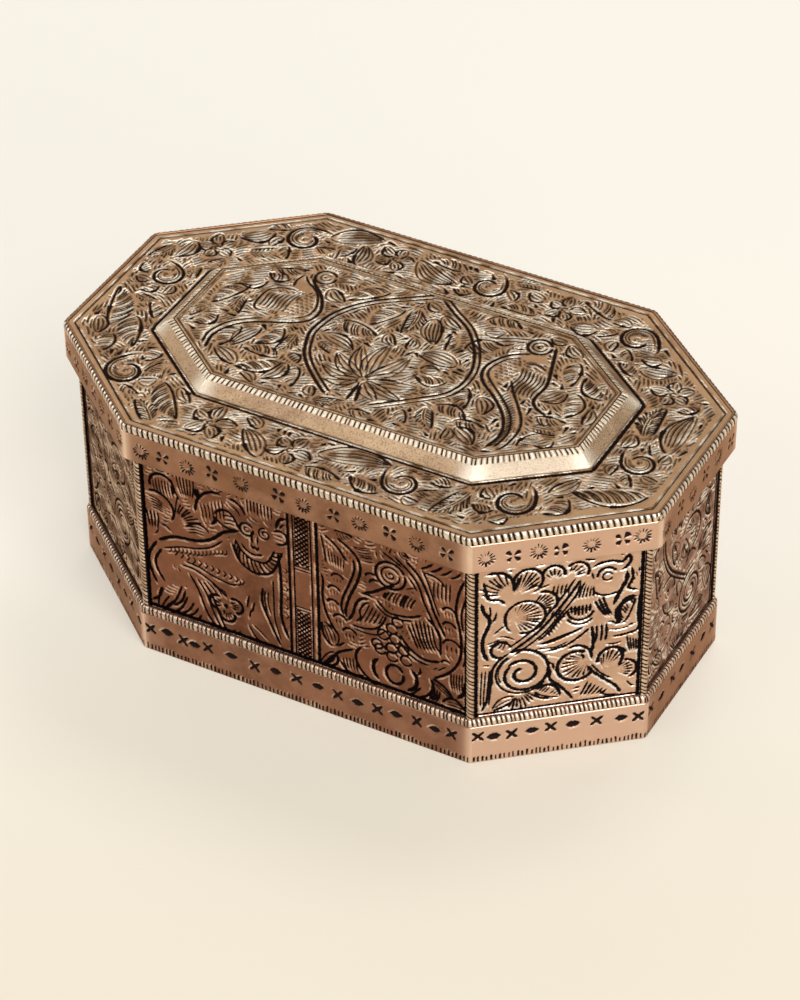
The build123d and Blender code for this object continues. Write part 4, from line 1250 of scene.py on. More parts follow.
def lozenge(p, centre, long, high=3.2):
    x, y = centre
    p.cut([(x - long / 2, y - 0.1), (x, y), (x + long / 2, y + 0.1)], high, 0.6, (1.5, 1.5))


def saltire(p, centre, reach=2.7):
    for a in (45, 135):
        b = a + p.pick.uniform(-9, 9)
        p.cut([polar(centre, reach, b), centre, polar(centre, reach, b + 180)], 1.4, 0.52, (0.8, 0.8))


# where the two kinds of mark stand on the front and the front right; on the other sides they alternate evenly
skirtMarks = {0: ((-51.5, -35.5, -17.2, 3.2, 22.2, 40), (-44, -26.5, -4.8, 13, 32, 49.5)),
              1: ((-22.5, -7.7, 7.3, 22.1), (-15.4, -1.1, 16.3))}
plinthMarks = {0: ((-53.5, -42, -33, -16.6, -2.5, 11.8, 25.4, 38.4, 50.4),
                   (-47.8, -37.6, -25, -9.6, 5.2, 18.5, 32, 44.4)), 1: ((-24.4, -14, -2.1, 11.3, 24.3),
                                                                        (-19.2, -8, 4.6, 18.7))}


def evenMarks(length, pitch):
    n = int(length / pitch)
    marks = [-length / 2 + length * (k + 0.5) / n for k in range(n)]
    return marks[0::2], marks[1::2]


def skirtPlate(side):
    length = sideFrame(lidPlan, 0, side)[3]
    p = Plate(-length / 2 - 1, length / 2 + 1, 74, 86, 40 + side)
    suns, foils = skirtMarks.get(side) or evenMarks(length, 7.6)
    for x in suns:
        sun(p, (x + p.pick.uniform(-0.5, 0.5), 80.1 + p.pick.uniform(-0.6, 0.6)))
    for x in foils:
        quatrefoil(p, (x + p.pick.uniform(-0.5, 0.5), 79.9 + p.pick.uniform(-0.7, 0.7)), 2.5,
                   45 if side % 2 else 38)
    p.finish()
    return p


def plinthPlate(side):
    length = sideFrame(lidPlan, 2.4, side)[3]
    p = Plate(-length / 2 - 1, length / 2 + 1, -1, 15, 60 + side)
    crosses, diamonds = plinthMarks.get(side) or evenMarks(length, 6.5)
    high = 9.7 if side == 1 else 8.7
    for x in crosses:
        saltire(p, (x + p.pick.uniform(-0.4, 0.4), high + p.pick.uniform(-0.6, 0.6)))
    for x in diamonds:
        lozenge(p, (x + p.pick.uniform(-0.4, 0.4), high + p.pick.uniform(-0.6, 0.6)), p.pick.uniform(4.1, 5))
    x = -length / 2
    while x < length / 2:
        tip = p.pick.uniform(1.9, 2.8)
        p.cut([(x, -0.6), (x + p.pick.uniform(-0.15, 0.15), tip)], 0.76, 0.5, (0.1, 0.3))
        x += p.pick.uniform(1.15, 1.5)
    p.finish()
    return p


# Materials. All are metal with patina: noise in object space, dark in the cuts, pale on the burrs as worn
# lips and painted highlight, and a painted light tone where the lit attribute marks it.
def tone(r, g, b):
    part = [c / 255 for c in (r, g, b)]
    return tuple(c / 12.92 if c <= 0.04045 else ((c + 0.055) / 1.055) ** 2.4 for c in part) + (1.0,)


def wire(tree, kind, inputs=(), **settings):
    # one shader node; each of its sockets is given a value, or another node's socket to link
    node = tree.nodes.new("ShaderNode" + kind)
    for key, value in settings.items():
        setattr(node, key, value)
    for key, value in dict(inputs).items():
        if isinstance(value, bpy.types.NodeSocket):
            tree.links.new(value, node.inputs[key])
        else:
            node.inputs[key].default_value = value
    return node


def spread(tree, value, low, high, toLow=0, toHigh=1):
    limits = {"From Min": low, "From Max": high, "To Min": toLow, "To Max": toHigh}
    return wire(tree, "MapRange", {"Value": value, **limits}).outputs["Result"]


def total(tree, a, b, kind="ADD"):
    return wire(tree, "Math", {0: a, 1: b}, operation=kind).outputs[0]


# grain sizes are noise scales; each share is how strong that colour gets
plainLook = {"big": 34, "middle": 170, "grain": 1100, "speckTo": 0.8, "speck": 0.4, "litShare": 0.85,
             "lipShare": 0.9, "cutFrom": 0.22, "cutTo": 0.62, "scratch": 420, "hammer": 130, "grit": 0.35,
             "dent": 1.6, "bump": 0.5, "bumpDepth": 0.00012, "tint": (236, 220, 204)}


def metal(name, own):
    look = {**plainLook, **own}
    mat = bpy.data.materials.new(name)
    mat.use_nodes = True
    tree = mat.node_tree
    shader = tree.nodes["Principled BSDF"]
    place = wire(tree, "TexCoord").outputs["Object"]

    def noiseAt(scale, detail, rough=0.6, source=place):
        settings = {"Scale": scale, "Detail": detail, "Roughness": rough, "Vector": source}
        return wire(tree, "TexNoise", settings).outputs["Fac"]

    def blendTo(factor, a, b):
        return wire(tree, "Mix", {0: factor, 6: a, 7: tone(*b)}, data_type="RGBA").outputs[2]

    def attribute(which):
        return wire(tree, "Attribute", attribute_name=which).outputs["Fac"]

    cut = attribute("cut")
    shine = attribute("shine")
    big = noiseAt(look["big"], 3)
    middle = noiseAt(look["middle"], 5)
    grain = noiseAt(look["grain"], 6, 0.7)
    colour = blendTo(spread(tree, big, 0.36, 0.64), tone(*look["deep"]), look["body"])
    colour = blendTo(spread(tree, middle, 0.42, 0.78, 0, 0.75), colour, look["pale"])
    speck = spread(tree, grain, 0.52, look["speckTo"], 0, look["speck"])
    colour = blendTo(speck, colour, look.get("pit", look["deep"]))
    # painted light: the lit tone goes where the lit attribute marks the lit face and the corner highlights
    if "lit" in look:
        colour = blendTo(spread(tree, attribute("lit"), 0, 1, 0, look["litShare"]), colour, look["lit"])
    # the lip tone stands for worn pale burrs and painted highlight together
    wearAndHighlight = total(tree, shine, spread(tree, middle, 0.3, 0.7, 0.65, 1.25), "MULTIPLY")
    colour = blendTo(spread(tree, wearAndHighlight, 0.12, 0.75, 0, look["lipShare"]), colour, look["lip"])
    dark = total(tree, cut, spread(tree, grain, 0.3, 0.7, -0.12, 0.12))
    dark = spread(tree, dark, look["cutFrom"], look["cutTo"])
    colour = blendTo(dark, colour, look["groove"])
    rough = total(tree, look["rough"], spread(tree, middle, 0.25, 0.75, -0.09, 0.11))
    rough = total(tree, rough, total(tree, dark, 0.35, "MULTIPLY"))
    rough = total(tree, rough, total(tree, shine, -0.1, "MULTIPLY"))
    turned = wire(tree, "Mapping", {"Vector": place, "Scale": (1, 0.12, 1), "Rotation": (0.2, 0.35, 0.6)})
    scratch = noiseAt(look["scratch"], 3, 0.5, turned.outputs["Vector"])
    hammer = noiseAt(look["hammer"], 2, 0.4)
    height = total(tree, total(tree, grain, look["grit"], "MULTIPLY"), total(tree, scratch, 0.35, "MULTIPLY"))
    height = total(tree, height, total(tree, hammer, look["dent"], "MULTIPLY"))
    bump = wire(tree, "Bump", {"Strength": look["bump"], "Distance": look["bumpDepth"], "Height": height})
    shader.inputs["Metallic"].default_value = 1
    shader.inputs["Specular Tint"].default_value = tone(*look["tint"])
    for socket, value in (("Base Color", colour), ("Roughness", rough), ("Normal", bump.outputs["Normal"])):
        tree.links.new(value, shader.inputs[socket])
    return mat


# tones run from the deep patina to the lip of a cut, which is worn pale and also painted as highlight, and
# the groove is its bottom
wallLook = {"deep": (104, 67, 49), "body": (134, 89, 67), "pale": (162, 112, 86), "lip": (226, 188, 164),
            "groove": (20, 14, 15), "rough": 0.42, "lipShare": 0.78}
skirtLook = {"deep": (130, 91, 68), "body": (158, 116, 90), "pale": (184, 142, 116), "lip": (236, 212, 186),
             "groove": (44, 34, 33), "rough": 0.4, "speck": 0.45, "lit": (222, 185, 161)}
milledLook = {"deep": (120, 88, 66), "body": (148, 112, 86), "pale": (176, 140, 112), "lip": (252, 244, 230),
              "groove": (44, 32, 28), "rough": 0.44, "speck": 0.3, "lit": (236, 220, 196), "litShare": 0.92}
looks = {
    "wall_copper": wallLook,
    # painted light: the front right chamfer and the right end are lit copies of the wall copper with
    # near-white painted highlights, the left walls a shaded copy
    "chamfer_copper": {**wallLook, "deep": (191, 153, 128), "body": (215, 178, 151), "pale": (230, 198, 172),
                       "lip": (252, 246, 238), "groove": (26, 21, 23), "lipShare": 0.92},
    "right_wall_copper": {**wallLook, "deep": (124, 90, 76), "body": (160, 121, 103), "pale": (208, 172, 152),
                          "lip": (248, 236, 220), "groove": (38, 28, 25), "lipShare": 0.95, "big": 60},
    "shaded_left_wall_copper": {**wallLook, "deep": (100, 73, 59), "body": (118, 88, 71), "pale": (144, 112, 92),
                         "lip": (222, 196, 172), "groove": (22, 15, 16), "lipShare": 0.85, "big": 60},
    "lid_copper": {"deep": (116, 88, 65), "body": (141, 111, 82), "pale": (170, 139, 105),
                   "lip": (252, 240, 220), "groove": (38, 26, 24), "rough": 0.4, "cutFrom": 0.16,
                   "cutTo": 0.76, "lipShare": 0.94, "big": 42},
    "rim_copper": {"deep": (156, 120, 86), "body": (187, 153, 115), "pale": (213, 183, 146),
                   "lip": (248, 240, 224), "groove": (56, 40, 32), "rough": 0.44, "speck": 0.85,
                   "lit": (250, 240, 220), "grit": 2.8, "bump": 1, "grain": 1700, "speckTo": 0.62,
                   "pit": (100, 70, 46)},
    "skirt_copper": skirtLook,
    "milled_copper": milledLook,
    "plinth_copper": {**skirtLook, "deep": (134, 94, 74), "body": (156, 112, 88), "pale": (180, 136, 111),
                      "lit": (232, 197, 174)},
    "plinth_wire_copper": {**milledLook, "body": (160, 120, 94), "lit": (238, 214, 192)},
    "bead_copper": {**milledLook, "deep": (146, 108, 84), "body": (182, 142, 112), "pale": (210, 174, 144),
                    "lip": (244, 226, 202)},
    "tinned_copper": {"deep": (132, 124, 116), "body": (158, 151, 143), "pale": (178, 172, 165),
                      "lip": (190, 184, 178), "groove": (70, 62, 56), "rough": 0.48, "speck": 0.35},
    "hinge_brass": {"deep": (140, 108, 58), "body": (172, 138, 80), "pale": (196, 164, 104),
                    "lip": (220, 192, 136), "groove": (50, 38, 24), "rough": 0.36},
    "pin_steel": {"deep": (112, 108, 104), "body": (142, 138, 134), "pale": (166, 163, 160),
                  "lip": (190, 188, 186), "groove": (50, 46, 44), "rough": 0.34},
    "rivet_copper": {**skirtLook, "deep": (134, 84, 58), "body": (164, 108, 76)},
}
metals = {name: metal(name, look) for name, look in looks.items()}
print("stage materials")


def fine(a, b, step):
    return list(np.linspace(a, b, max(2, int(round((b - a) / step)) + 1)))


def inHalves(columns):
    # both halves of a wide sheet share its middle column
    halfway = len(columns) // 2
    return columns[:halfway + 1], columns[halfway:]


# Body: eight engraved sheets. Each row holds a side's name, its drawing, the step of its grid and its metal.
wallSpec = {"inset": 4.2, "thick": 1.0, "level": -0.08, "wave": 0.07, "top": 86.5, "field": (15.6, 78)}
walls = (("front", drawFront, 0.225, "wall_copper"), ("front_right", drawChamfer, 0.225, "chamfer_copper"),
         ("right_end", None, 0.28, "right_wall_copper"), ("back_right", None, 0.48, "wall_copper"),
         ("back", None, 0.48, "wall_copper"), ("back_left", None, 0.48, "wall_copper"),
         ("left_end", None, 0.48, "shaded_left_wall_copper"), ("front_left", None, 0.3, "shaded_left_wall_copper"))
for side, (sideName, draw, step, copper) in enumerate(walls):
    middle, along, out, length = sideFrame(lidPlan, wallSpec["inset"], side)
    share = sideFrame(lidPlan, wallSpec["inset"] + wallSpec["thick"], side)[3] / length
    plate = Plate(-length / 2 - 1, length / 2 + 1, 12, 87, 10 + side)
    if draw:
        draw(plate)
    else:
        drawSideField(plate, length / 2 - 1.7, 100 + side)
    plate.finish((0.45, 0.9))
    columns = fine(-length / 2, length / 2, step)
    rows = [0, 7, 14.2] + fine(*wallSpec["field"], step) + [82, wallSpec["top"]]
    parts = zip(("_a", "_b"), inHalves(columns)) if side == 0 else (("", columns),)
    for part, cols in parts:
        obj, u, v, front = sheetGrid("wall_" + sideName + part, cols, rows, wallSpec["thick"],
                                     (metals[copper], metals["tinned_copper"]))
        w, dark, shine = carve({**wallSpec, "seed": 200 + side}, plate, u, v, front)
        u = np.where(front, u, u * share)
        flat = middle + u[:, None] * along + w[:, None] * out
        writePoints(obj.data, np.column_stack([flat, v]), dark, shine)
        hang(obj, "box", "body_copper", "body_wall")
print("stage walls")

# Corner beads: crescent strips with a milled edge. Each one replaces the CAD bead that stands nearest.
beadSpec = {"radius": 1.3, "rise": 0.85, "back": 0.3, "low": 16.6, "high": 82.5, "step": 0.26, "reach": 84,
            "around": 13, "pitch": 1.42, "slot": 0.6, "depth": 0.34, "lean": 0.12}
beadPlaces = {}
for number in range(1, 9):
    bead = "corner_bead_%d" % number
    low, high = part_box(bead)
    beadPlaces[bead] = np.array([(low.x + high.x) / 2, (low.y + high.y) / 2]) / mm
angles = np.radians(np.linspace(-beadSpec["reach"], beadSpec["reach"], beadSpec["around"]))
for index, corner in enumerate(corners(lidPlan, wallSpec["inset"])):
    before = sideFrame(lidPlan, 0, (index - 1) % 8)[2]
    after = sideFrame(lidPlan, 0, index)[2]
    out = (before + after) / np.hypot(*(before + after))
    across = np.array([out[1], -out[0]])
    centre = corner - out * (beadSpec["radius"] - beadSpec["rise"])
    teeth = Teeth(beadSpec["pitch"], beadSpec["slot"], beadSpec["depth"], 300 + index, beadSpec["lean"])
    obj, i, z, front = sheetGrid("bead_" + str(index + 1), range(len(angles)),
                                 fine(beadSpec["low"], beadSpec["high"], beadSpec["step"]), 1,
                                 (metals["bead_copper"],) * 2)
    a = angles[np.rint(i).astype(int)]
    lift, fall, crest = teeth.read(z, 6 * a)
    lift = lift * np.cos(a) ** 0.5
    r = np.where(front, beadSpec["radius"] - lift, beadSpec["back"])
    flat = centre + (r * np.cos(a))[:, None] * out - (r * np.sin(a))[:, None] * across
    edge = np.clip((np.abs(a) - 0.95) / 0.4, 0, 1)
    # painted highlight on the bead: a steady pale share, more on each tooth's crest
    writePoints(obj.data, np.column_stack([flat, z]), np.where(front, np.maximum(fall * 1.1, edge), 1),
                np.where(front, 0.25 + 0.3 * crest, 0))
    nearest = min(beadPlaces, key=lambda bead: np.hypot(*(corner - beadPlaces[bead])))
    hang(obj, "box", "milled_copper", nearest)
print("stage beads")


def litFace(away):
    # one where the outward direction is that of the front right face, which is given painted light
    return np.clip((away @ sideFrame(lidPlan, 0, 1)[2] - 0.8) / 0.18, 0, 1)


def cornerWearAndHighlight(side, u, plan, reach, core=1):
    # one at the corners, falling off over the reach: rubbed-bright corners and painted highlight together
    lengths = np.array([sideFrame(plan, 0, k)[3] for k in range(8)])
    return np.exp(-(np.clip(lengths[side] / 2 - core - np.abs(u), 0, None) / reach) ** 2)


def stamped(plates):
    def relief(side, u, z, run, weight, away):
        height, dark, shine = np.zeros((3, len(z)))
        on = weight > 0
        for k, p in enumerate(plates):
            hit = (side == k) & on
            height[hit], dark[hit], shine[hit] = p.relief(u[hit], z[hit])
        # painted light: a painted highlight on the corners over their rubbed look, and the lit tone on the
        # front right face
        wearAndHighlight = 0.25 * cornerWearAndHighlight(side, u, lidPlan, 5) + 0.75 * cornerWearAndHighlight(side, u, lidPlan, 1.5)
        polishAndHighlight = 0.62 * cornerWearAndHighlight(side, u, lidPlan, 0.8, 0.1) * on
        return height, dark, np.maximum(shine * 0.7, polishAndHighlight), np.maximum(litFace(away), wearAndHighlight * on)
    return relief


def milled(teeth, zMiddle, least):
    # a weight over 1 marks a plain row of painted shadow, lighter on the lit front right face
    def relief(side, u, z, run, weight, away):
        lift, fall, crest = teeth.read(run, z - zMiddle)
        share = np.where(weight > 1, 0, weight)
        dark = np.maximum(fall * np.sqrt(share) * 1.15, (weight > 1) * (0.5 - 0.25 * litFace(away)))
        # painted highlight: the lit tone on the teeth's crests, a least share everywhere and full on the
        # front right face
        lit = share * (least + (1 - least) * litFace(away)) * (0.45 + 0.55 * crest)
        return -lift * share, dark, crest * 0.5 * share, lit
    return relief


# Plinth band and its milled wire.
plinthPlates = [plinthPlate(k) for k in range(8)]
skirtPlates = [skirtPlate(k) for k in range(8)]
plinthSpec = {"round": 4.6, "spacing": 0.4, "seed": 71, "wave": 0.07, "face": 2.45}
face = plinthSpec["face"]
plinthRows = [(face, z, 1, 0, 1) for z in fine(0.25, 13.6, 0.4)]
plinthRows += [(face + 0.12, 13.85, 0.8, 0.6, 0), (face + 0.5, 13.98, 0, 1, 0), (4.2, 13.98, 0, 1, 0),
               (4.2, 7, -1, 0, 0), (4.2, 0.02, -0.7, -0.7, 0), (3.3, 0, 0, -1, 0),
               (face + 0.15, 0.05, 0.7, -0.7, 0)]
obj = ringPiece("plinth_band_sheet", plinthSpec, plinthRows, lidPlan, stamped(plinthPlates),
                metals["plinth_copper"])
hang(obj, "box", "plinth_copper", "plinth_band")
plinthWireSpec = {"round": 4.8, "spacing": 0.24, "seed": 72, "wave": 0.06}
plinthWireRows = [(2.45, 14.06, 1, 0, 0.5), (2.42, 14.5, 1, 0, 1), (2.4, 15, 1, 0.05, 1),
                  (2.44, 15.5, 0.97, 0.25, 1), (2.58, 15.95, 0.85, 0.5, 1), (2.85, 16.3, 0.6, 0.8, 0.9),
                  (3.2, 16.52, 0.3, 0.95, 0.7), (3.6, 16.58, 0, 1, 0.4), (4, 16.56, 0, 1, 0.1),
                  (4.2, 16.5, 0, 1, 0), (4.25, 15.4, -1, 0, 0), (4.25, 14.02, -1, -1, 0), (3.2, 14, 0, -1, 0)]
plinthTeeth = Teeth(1.4, 0.56, 0.42, 401, 0.15)
obj = ringPiece("plinth_wire_milled", plinthWireSpec, plinthWireRows, lidPlan, milled(plinthTeeth, 15, 0.36),
                metals["plinth_wire_copper"])
hang(obj, "box", "milled_copper", "plinth_wire")
print("stage plinth")

# Lid skirt with its stamps and the two hinge notches at the back.
skirtSpec = {"round": 3.2, "spacing": 0.34, "seed": 73, "wave": 0.07, "top": 85.1, "foot": 75.1,
             "notchX": 35.0, "notchHalf": 13.0, "notchTop": 78.39}


def skirtShape(side, u, z):
    inNotch = (side == 4) & (np.abs(np.abs(u) - skirtSpec["notchX"]) < skirtSpec["notchHalf"])
    share = (skirtSpec["top"] - z) / (skirtSpec["top"] - skirtSpec["foot"])
    return np.where(inNotch, skirtSpec["top"] - share * (skirtSpec["top"] - skirtSpec["notchTop"]), z)


skirtRows = [(0.08, z, 1, 0, 1) for z in fine(75.3, 85.08, 0.34)]
skirtRows += [(0.5, 85.1, 0, 1, 0), (1.0, 85.1, -0.7, 0.7, 0), (1.0, 80, -1, 0, 0), (1.0, 75.25, -1, 0, 0),
              (0.88, 75.12, -0.5, -0.8, 0), (0.5, 75.1, 0, -1, 0), (0.16, 75.14, 0.6, -0.8, 0)]
obj = ringPiece("skirt_sheet", skirtSpec, skirtRows, lidPlan, stamped(skirtPlates), metals["skirt_copper"],
                skirtShape)
hang(obj, "lid", "skirt_copper", "lid_skirt")
lidWireSpec = {"round": 3.4, "spacing": 0.25, "seed": 74, "wave": 0.05}
lidWireRows = [(0.12, 85.14, 1, 0, 0.8), (0.05, 85.5, 1, 0, 1), (0.02, 85.9, 1, 0, 1), (0.02, 86.4, 1, 0, 1),
               (0.06, 86.85, 1, 0.15, 1), (0.22, 87.22, 0.85, 0.5, 1), (0.46, 87.5, 0.6, 0.8, 0.85),
               (0.78, 87.68, 0.3, 0.95, 0.5), (1.12, 87.76, 0, 1, 2), (1.4, 87.74, 0, 1, 0),
               (1.58, 87.6, -0.4, 0.9, 0), (1.72, 87.35, -1, 0, 2), (1.74, 86.2, -1, 0, 0),
               (1.74, 85.12, -1, -1, 0), (1.2, 85.1, 0, -1, 0)]
lidTeeth = Teeth(1.8, 0.76, 0.42, 402, 0.2)
obj = ringPiece("lid_wire_milled", lidWireSpec, lidWireRows, lidPlan, milled(lidTeeth, 86.5, 0.85),
                metals["milled_copper"])
hang(obj, "lid", "milled_copper", "lid_wire")
print("stage skirt")

# Lid border in four quarters and a plain lining under it.
borderSpec = {"thick": 0.85, "level": -0.14, "wave": 0.06, "seed": 75, "z": 87.5, "outer": 1.8, "inner": 0.7,
              "step": 0.245, "lengths": (25, 52, 52), "width": 24.5}
borderPlate = Plate(-101, 101, -63, 63, 31, 0.15)
drawBorder(borderPlate)
borderPlate.finish()
lidPair = (metals["lid_copper"], metals["tinned_copper"])


def quarterPath(plan, inset, counts, quarter):
    # points of the outline from the middle of an end to the middle of a long side, counted by side
    first, second = (corners(plan, inset)[k] for k in ((2, 1), (3, 4), (6, 5), (7, 0))[quarter])
    stops = [np.array([first[0], 0.0]), first, second, np.array([0.0, second[1]])]
    out = [a + (b - a) * i / n for a, b, n in zip(stops, stops[1:], counts) for i in range(n)]
    return np.array(out + stops[-1:])


counts = [int(n / borderSpec["step"]) for n in borderSpec["lengths"]]
rowCount = int(borderSpec["width"] / borderSpec["step"])
for quarter, name in enumerate(("front_right", "back_right", "back_left", "front_left")):
    outer = quarterPath(lidPlan, borderSpec["outer"], counts, quarter)
    inner = quarterPath(panelPlan, borderSpec["inner"], counts, quarter)
    obj, i, j, front = sheetGrid("lid_border_" + name, range(len(outer)), range(rowCount), 1, lidPair)
    i = np.rint(i).astype(int)
    t = (j / (rowCount - 1))[:, None]
    u, v = (outer[i] * (1 - t) + inner[i] * t).T
    w, dark, shine = carve(borderSpec, borderPlate, u, v, front)
    writePoints(obj.data, np.column_stack([u, v, w + borderSpec["z"]]), dark, shine)
    hang(obj, "lid", "lid_copper", "lid_plate")

liningSpec = {"z": 86.6, "thick": 0.1, "inset": 2.4, "edge": 2.0}
bm = bmesh.new()
bm.faces.new([bm.verts.new((*(p * mm), liningSpec["z"] * mm)) for p in corners(lidPlan, liningSpec["inset"])])
made = bmesh.ops.extrude_face_region(bm, geom=bm.faces[:])["geom"]
for v in made:
    if isinstance(v, bmesh.types.BMVert):
        v.co.z -= liningSpec["thick"] * mm
flats = [f for f in bm.faces if abs(f.normal.z) > 0.5]
bmesh.ops.inset_region(bm, faces=flats, thickness=liningSpec["edge"] * mm, depth=0)
bmesh.ops.recalc_face_normals(bm, faces=bm.faces)
hang(newObject("lid_lining", bm, lidPair[1:]), "lid", "lid_copper", "lid_plate")

# The panel's rim. Its weights: 1 plain slope, 2 and 2.5 toothed, 3 plain top, 3.5 the thin grooves beside it.
rimSpec = {"round": 2.6, "spacing": 0.25, "seed": 76, "wave": 0.07}
rimRows = [(0.0, 87.4, 1, 0.2, 1), (0.0, 87.7, 1, 0.4, 1)]
rimRows += [(0.1 + 3.1 * t, 87.95 + 2.75 * t, 0.66, 0.75, 1) for t in np.linspace(0, 1, 9)]
rimRows += [(3.55, 91.0, 0.62, 0.78, 2), (3.9, 91.26, 0.55, 0.83, 2), (4.25, 91.48, 0.45, 0.9, 2),
            (4.6, 91.65, 0.3, 0.95, 2), (4.9, 91.76, 0.15, 1, 2), (5.15, 91.82, 0, 1, 2.5),
            (5.3, 91.78, 0, 1, 3.5), (5.5, 91.74, 0, 1, 3.5), (5.7, 91.82, 0, 1, 3), (5.95, 91.84, 0, 1, 3),
            (6.15, 91.8, 0, 1, 3), (6.3, 91.62, 0, 1, 3.5), (6.45, 91.4, 0, 1, 3.5), (6.6, 90.8, -1, 0, 0),
            (6.6, 88.4, -1, 0, 0), (6.6, 87.3, -1, -1, 0), (4, 87.3, 0, -1, 0), (0.4, 87.3, 0, -1, 0)]
rimTeeth = Teeth(1.58, 0.5, 0.4, 403)


def rimRelief(side, u, z, run, weight, away):
    lift, fall, crest = rimTeeth.read(run, 0 * z)
    on = np.where(weight == 2, 1.0, np.where(weight == 2.5, 0.5, 0.0))
    wearAndHighlight = cornerWearAndHighlight(side, u, panelPlan, 3.5)
    # painted highlight on the slope, strongest on the front right face and at the corners
    slope = np.clip(0.1 + 0.4 * litFace(away) + 0.75 * wearAndHighlight, 0, 1)
    lit = np.where(weight == 1, slope, on * (0.3 + 0.5 * crest))
    return -lift * on, np.maximum(fall * on * 1.15, (weight == 3.5) * 0.7), crest * on * 0.5, lit


obj = ringPiece("panel_rim", rimSpec, rimRows, panelPlan, rimRelief, metals["rim_copper"])
hang(obj, "lid", "lid_copper", "raised_panel")

# The panel's engraved field in two halves.
fieldSpec = {"thick": 1.0, "level": -0.27, "wave": 0.05, "seed": 77, "inset": 6.4, "z": 91.9, "step": 0.235}
panelPlate = Plate(-67.5, 67.5, -33.5, 33.5, 32, 0.14)
drawPanel(panelPlate)
panelPlate.finish()
sides = [sideFrame(panelPlan, fieldSpec["inset"], side) for side in range(8)]
trims = [((*middle, 0), (*out, 0)) for middle, along, out, length in sides]
reachX, reachY = (panelPlan[half] - fieldSpec["inset"] + 0.2 for half in ("halfLength", "halfWidth"))
rows = fine(-reachY, reachY, fieldSpec["step"])
for part, cols in zip(("left", "right"), inHalves(fine(-reachX, reachX, fieldSpec["step"]))):
    obj, u, v, front = sheetGrid("panel_field_" + part, cols, rows, fieldSpec["thick"], lidPair, trims)
    w, dark, shine = carve(fieldSpec, panelPlate, u, v, front)
    writePoints(obj.data, np.column_stack([u, v, w + fieldSpec["z"]]), dark, shine)
    hang(obj, "lid", "lid_copper", "raised_panel")
print("stage lid")

# Carried-over CAD parts: the bottom sheet, the hinges, their pins and rivets, by the end of the name.
finishes = {"base_plate": ("plinth_copper", "base_copper"), "leaf": ("hinge_brass", "hinge_brass"),
            "pin": ("pin_steel", "pin_steel"), "rivets": ("rivet_copper", "rivet_copper")}
for node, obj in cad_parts.items():
    for ending, (copper, slotName) in finishes.items():
        if node.endswith(ending):
            if not obj.material_slots:
                obj.data.materials.append(metals[copper])
            for s in obj.material_slots:
                s.material = metals[copper]

# Camera.
camSpec = {"azimuth": 28.65, "elevation": 39.0, "distance": 1.0998, "target": (1.04, 0.57, 36.34),
           "roll": -0.64, "lens": 129.4}
az = math.radians(camSpec["azimuth"])
el = math.radians(camSpec["elevation"])
view = Vector((math.sin(az) * math.cos(el), -math.cos(az) * math.cos(el), math.sin(el)))
camera = bpy.data.cameras.new("view")
camera.lens = camSpec["lens"]
camera.sensor_width = 36
camera.clip_start = 0.01
camera.clip_end = 50
cameraObj = bpy.data.objects.new("view", camera)
bpy.context.scene.collection.objects.link(cameraObj)
cameraObj.location = Vector(camSpec["target"]) * mm + view * camSpec["distance"]
cameraObj.rotation_euler = (-view).to_track_quat("-Z", "Y").to_euler()
cameraObj.rotation_euler.rotate_axis("Z", math.radians(camSpec["roll"]))
bpy.context.scene.camera = cameraObj

# Floor: the camera and reflections see a pale cloth, warmer towards the viewer, at the strength of white.
floorSpec = {"near": (222, 204, 170), "middle": (250, 243, 230), "far": (248, 245, 238),
             "cloth": (207, 201, 189), "fade": (-0.22, 0.26), "open": (0.6, 2.2, 0.45, 1), "half": 6,
             "drop": 0.2}


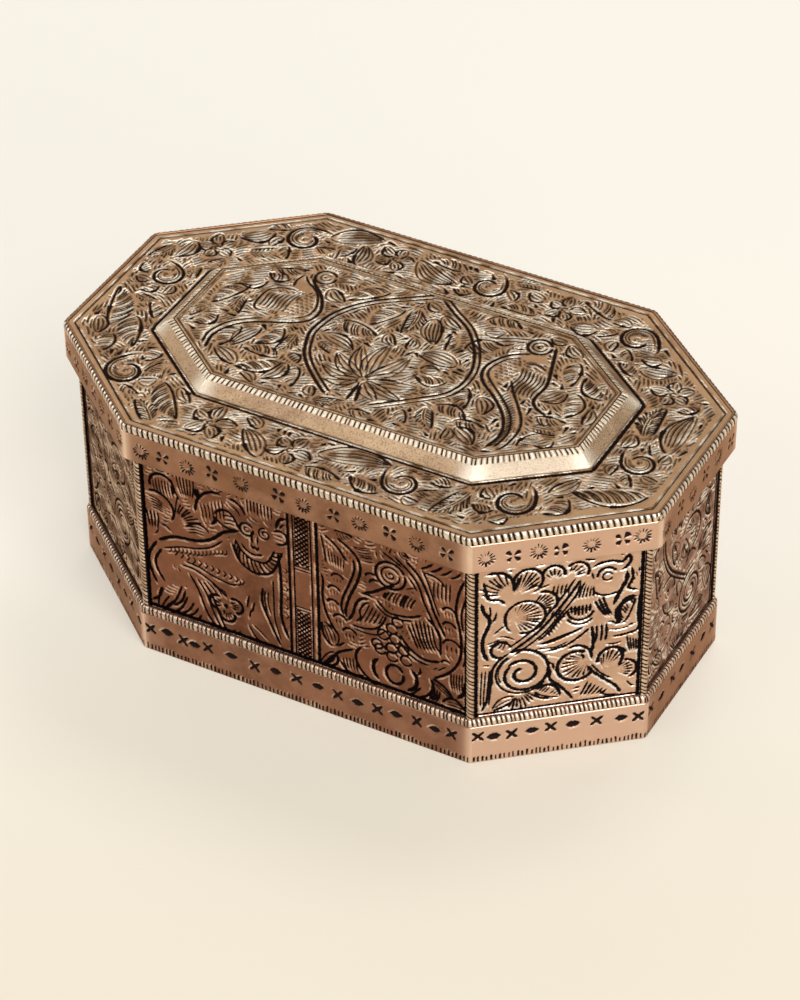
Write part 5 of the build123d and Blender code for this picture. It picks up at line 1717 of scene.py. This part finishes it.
def floorMaterial():
    mat = bpy.data.materials.new("floor")
    mat.use_nodes = True
    tree = mat.node_tree
    tree.nodes.clear()
    place = wire(tree, "TexCoord").outputs["Object"]
    turned = wire(tree, "Mapping", {"Vector": place, "Rotation": (0, 0, -az)}).outputs["Vector"]
    back = wire(tree, "SeparateXYZ", {"Vector": turned}).outputs["Y"]
    ramp = wire(tree, "ValToRGB", {"Fac": spread(tree, back, *floorSpec["fade"])})
    ramp.color_ramp.elements[0].color = tone(*floorSpec["near"])
    ramp.color_ramp.elements[1].color = tone(*floorSpec["far"])
    ramp.color_ramp.elements.new(0.5).color = tone(*floorSpec["middle"])
    cloth = wire(tree, "BsdfDiffuse", {"Color": tone(*floorSpec["cloth"])})
    glow = wire(tree, "Emission", {"Color": ramp.outputs["Color"]})
    path = wire(tree, "LightPath").outputs
    seen = total(tree, path["Is Camera Ray"], path["Is Glossy Ray"], "MAXIMUM")
    seen = total(tree, seen, path["Is Transmission Ray"], "MAXIMUM")
    away = wire(tree, "VectorMath", {0: place}, operation="LENGTH").outputs["Value"]
    share = total(tree, seen, spread(tree, away, *floorSpec["open"]), "MULTIPLY")
    mix = wire(tree, "MixShader", {0: share, 1: cloth.outputs[0], 2: glow.outputs[0]})
    wire(tree, "OutputMaterial", {"Surface": mix.outputs[0]})
    return mat


bm = bmesh.new()
bmesh.ops.create_grid(bm, x_segments=8, y_segments=8, size=floorSpec["half"])
floor = newObject("floor", bm, (floorMaterial(),))
floor.location.z = -floorSpec["drop"] * mm

# Lights: a dim plain room and seven soft boxes.
roomSpec = {"tone": (240, 236, 230), "strength": 0.3}
world = bpy.data.worlds.new("room")
bpy.context.scene.world = world
world.use_nodes = True
world.node_tree.nodes["Background"].inputs["Color"].default_value = tone(*roomSpec["tone"])
world.node_tree.nodes["Background"].inputs["Strength"].default_value = roomSpec["strength"]


def softbox(name, direction, distance, size, watts, mirrored=True):
    light = bpy.data.lights.new(name, "AREA")
    light.shape = "RECTANGLE"
    light.size, light.size_y = size
    light.energy = watts
    obj = bpy.data.objects.new(name, light)
    obj.visible_glossy = mirrored
    bpy.context.scene.collection.objects.link(obj)
    way = Vector(direction).normalized()
    obj.location = Vector((0, 0, 0.05)) + way * distance
    obj.rotation_euler = (-way).to_track_quat("-Z", "Y").to_euler()


softbox("keyRight", (0.51, -0.39, 0.76), 1.5, (0.7, 0.7), 16)
softbox("sideLeft", (-0.9, -0.1, 0.42), 1.6, (0.8, 0.5), 6.5)
softbox("lowRight", (0.75, -0.6, 0.3), 1.5, (0.7, 0.4), 9)
softbox("backTop", (-0.5, 0.73, 0.72), 1.7, (1.2, 0.7), 8)
softbox("frontTop", (-0.35, -0.65, 0.7), 1.7, (0.9, 0.6), 6)
softbox("backRight", (0.6, 0.7, 0.45), 1.6, (0.8, 0.5), 3)
softbox("shadow", (0.02, 0.5, 0.9), 1.6, (0.5, 0.5), 10, False)

bpy.context.scene.view_settings.view_transform = "Standard"
bpy.context.view_layer.update()
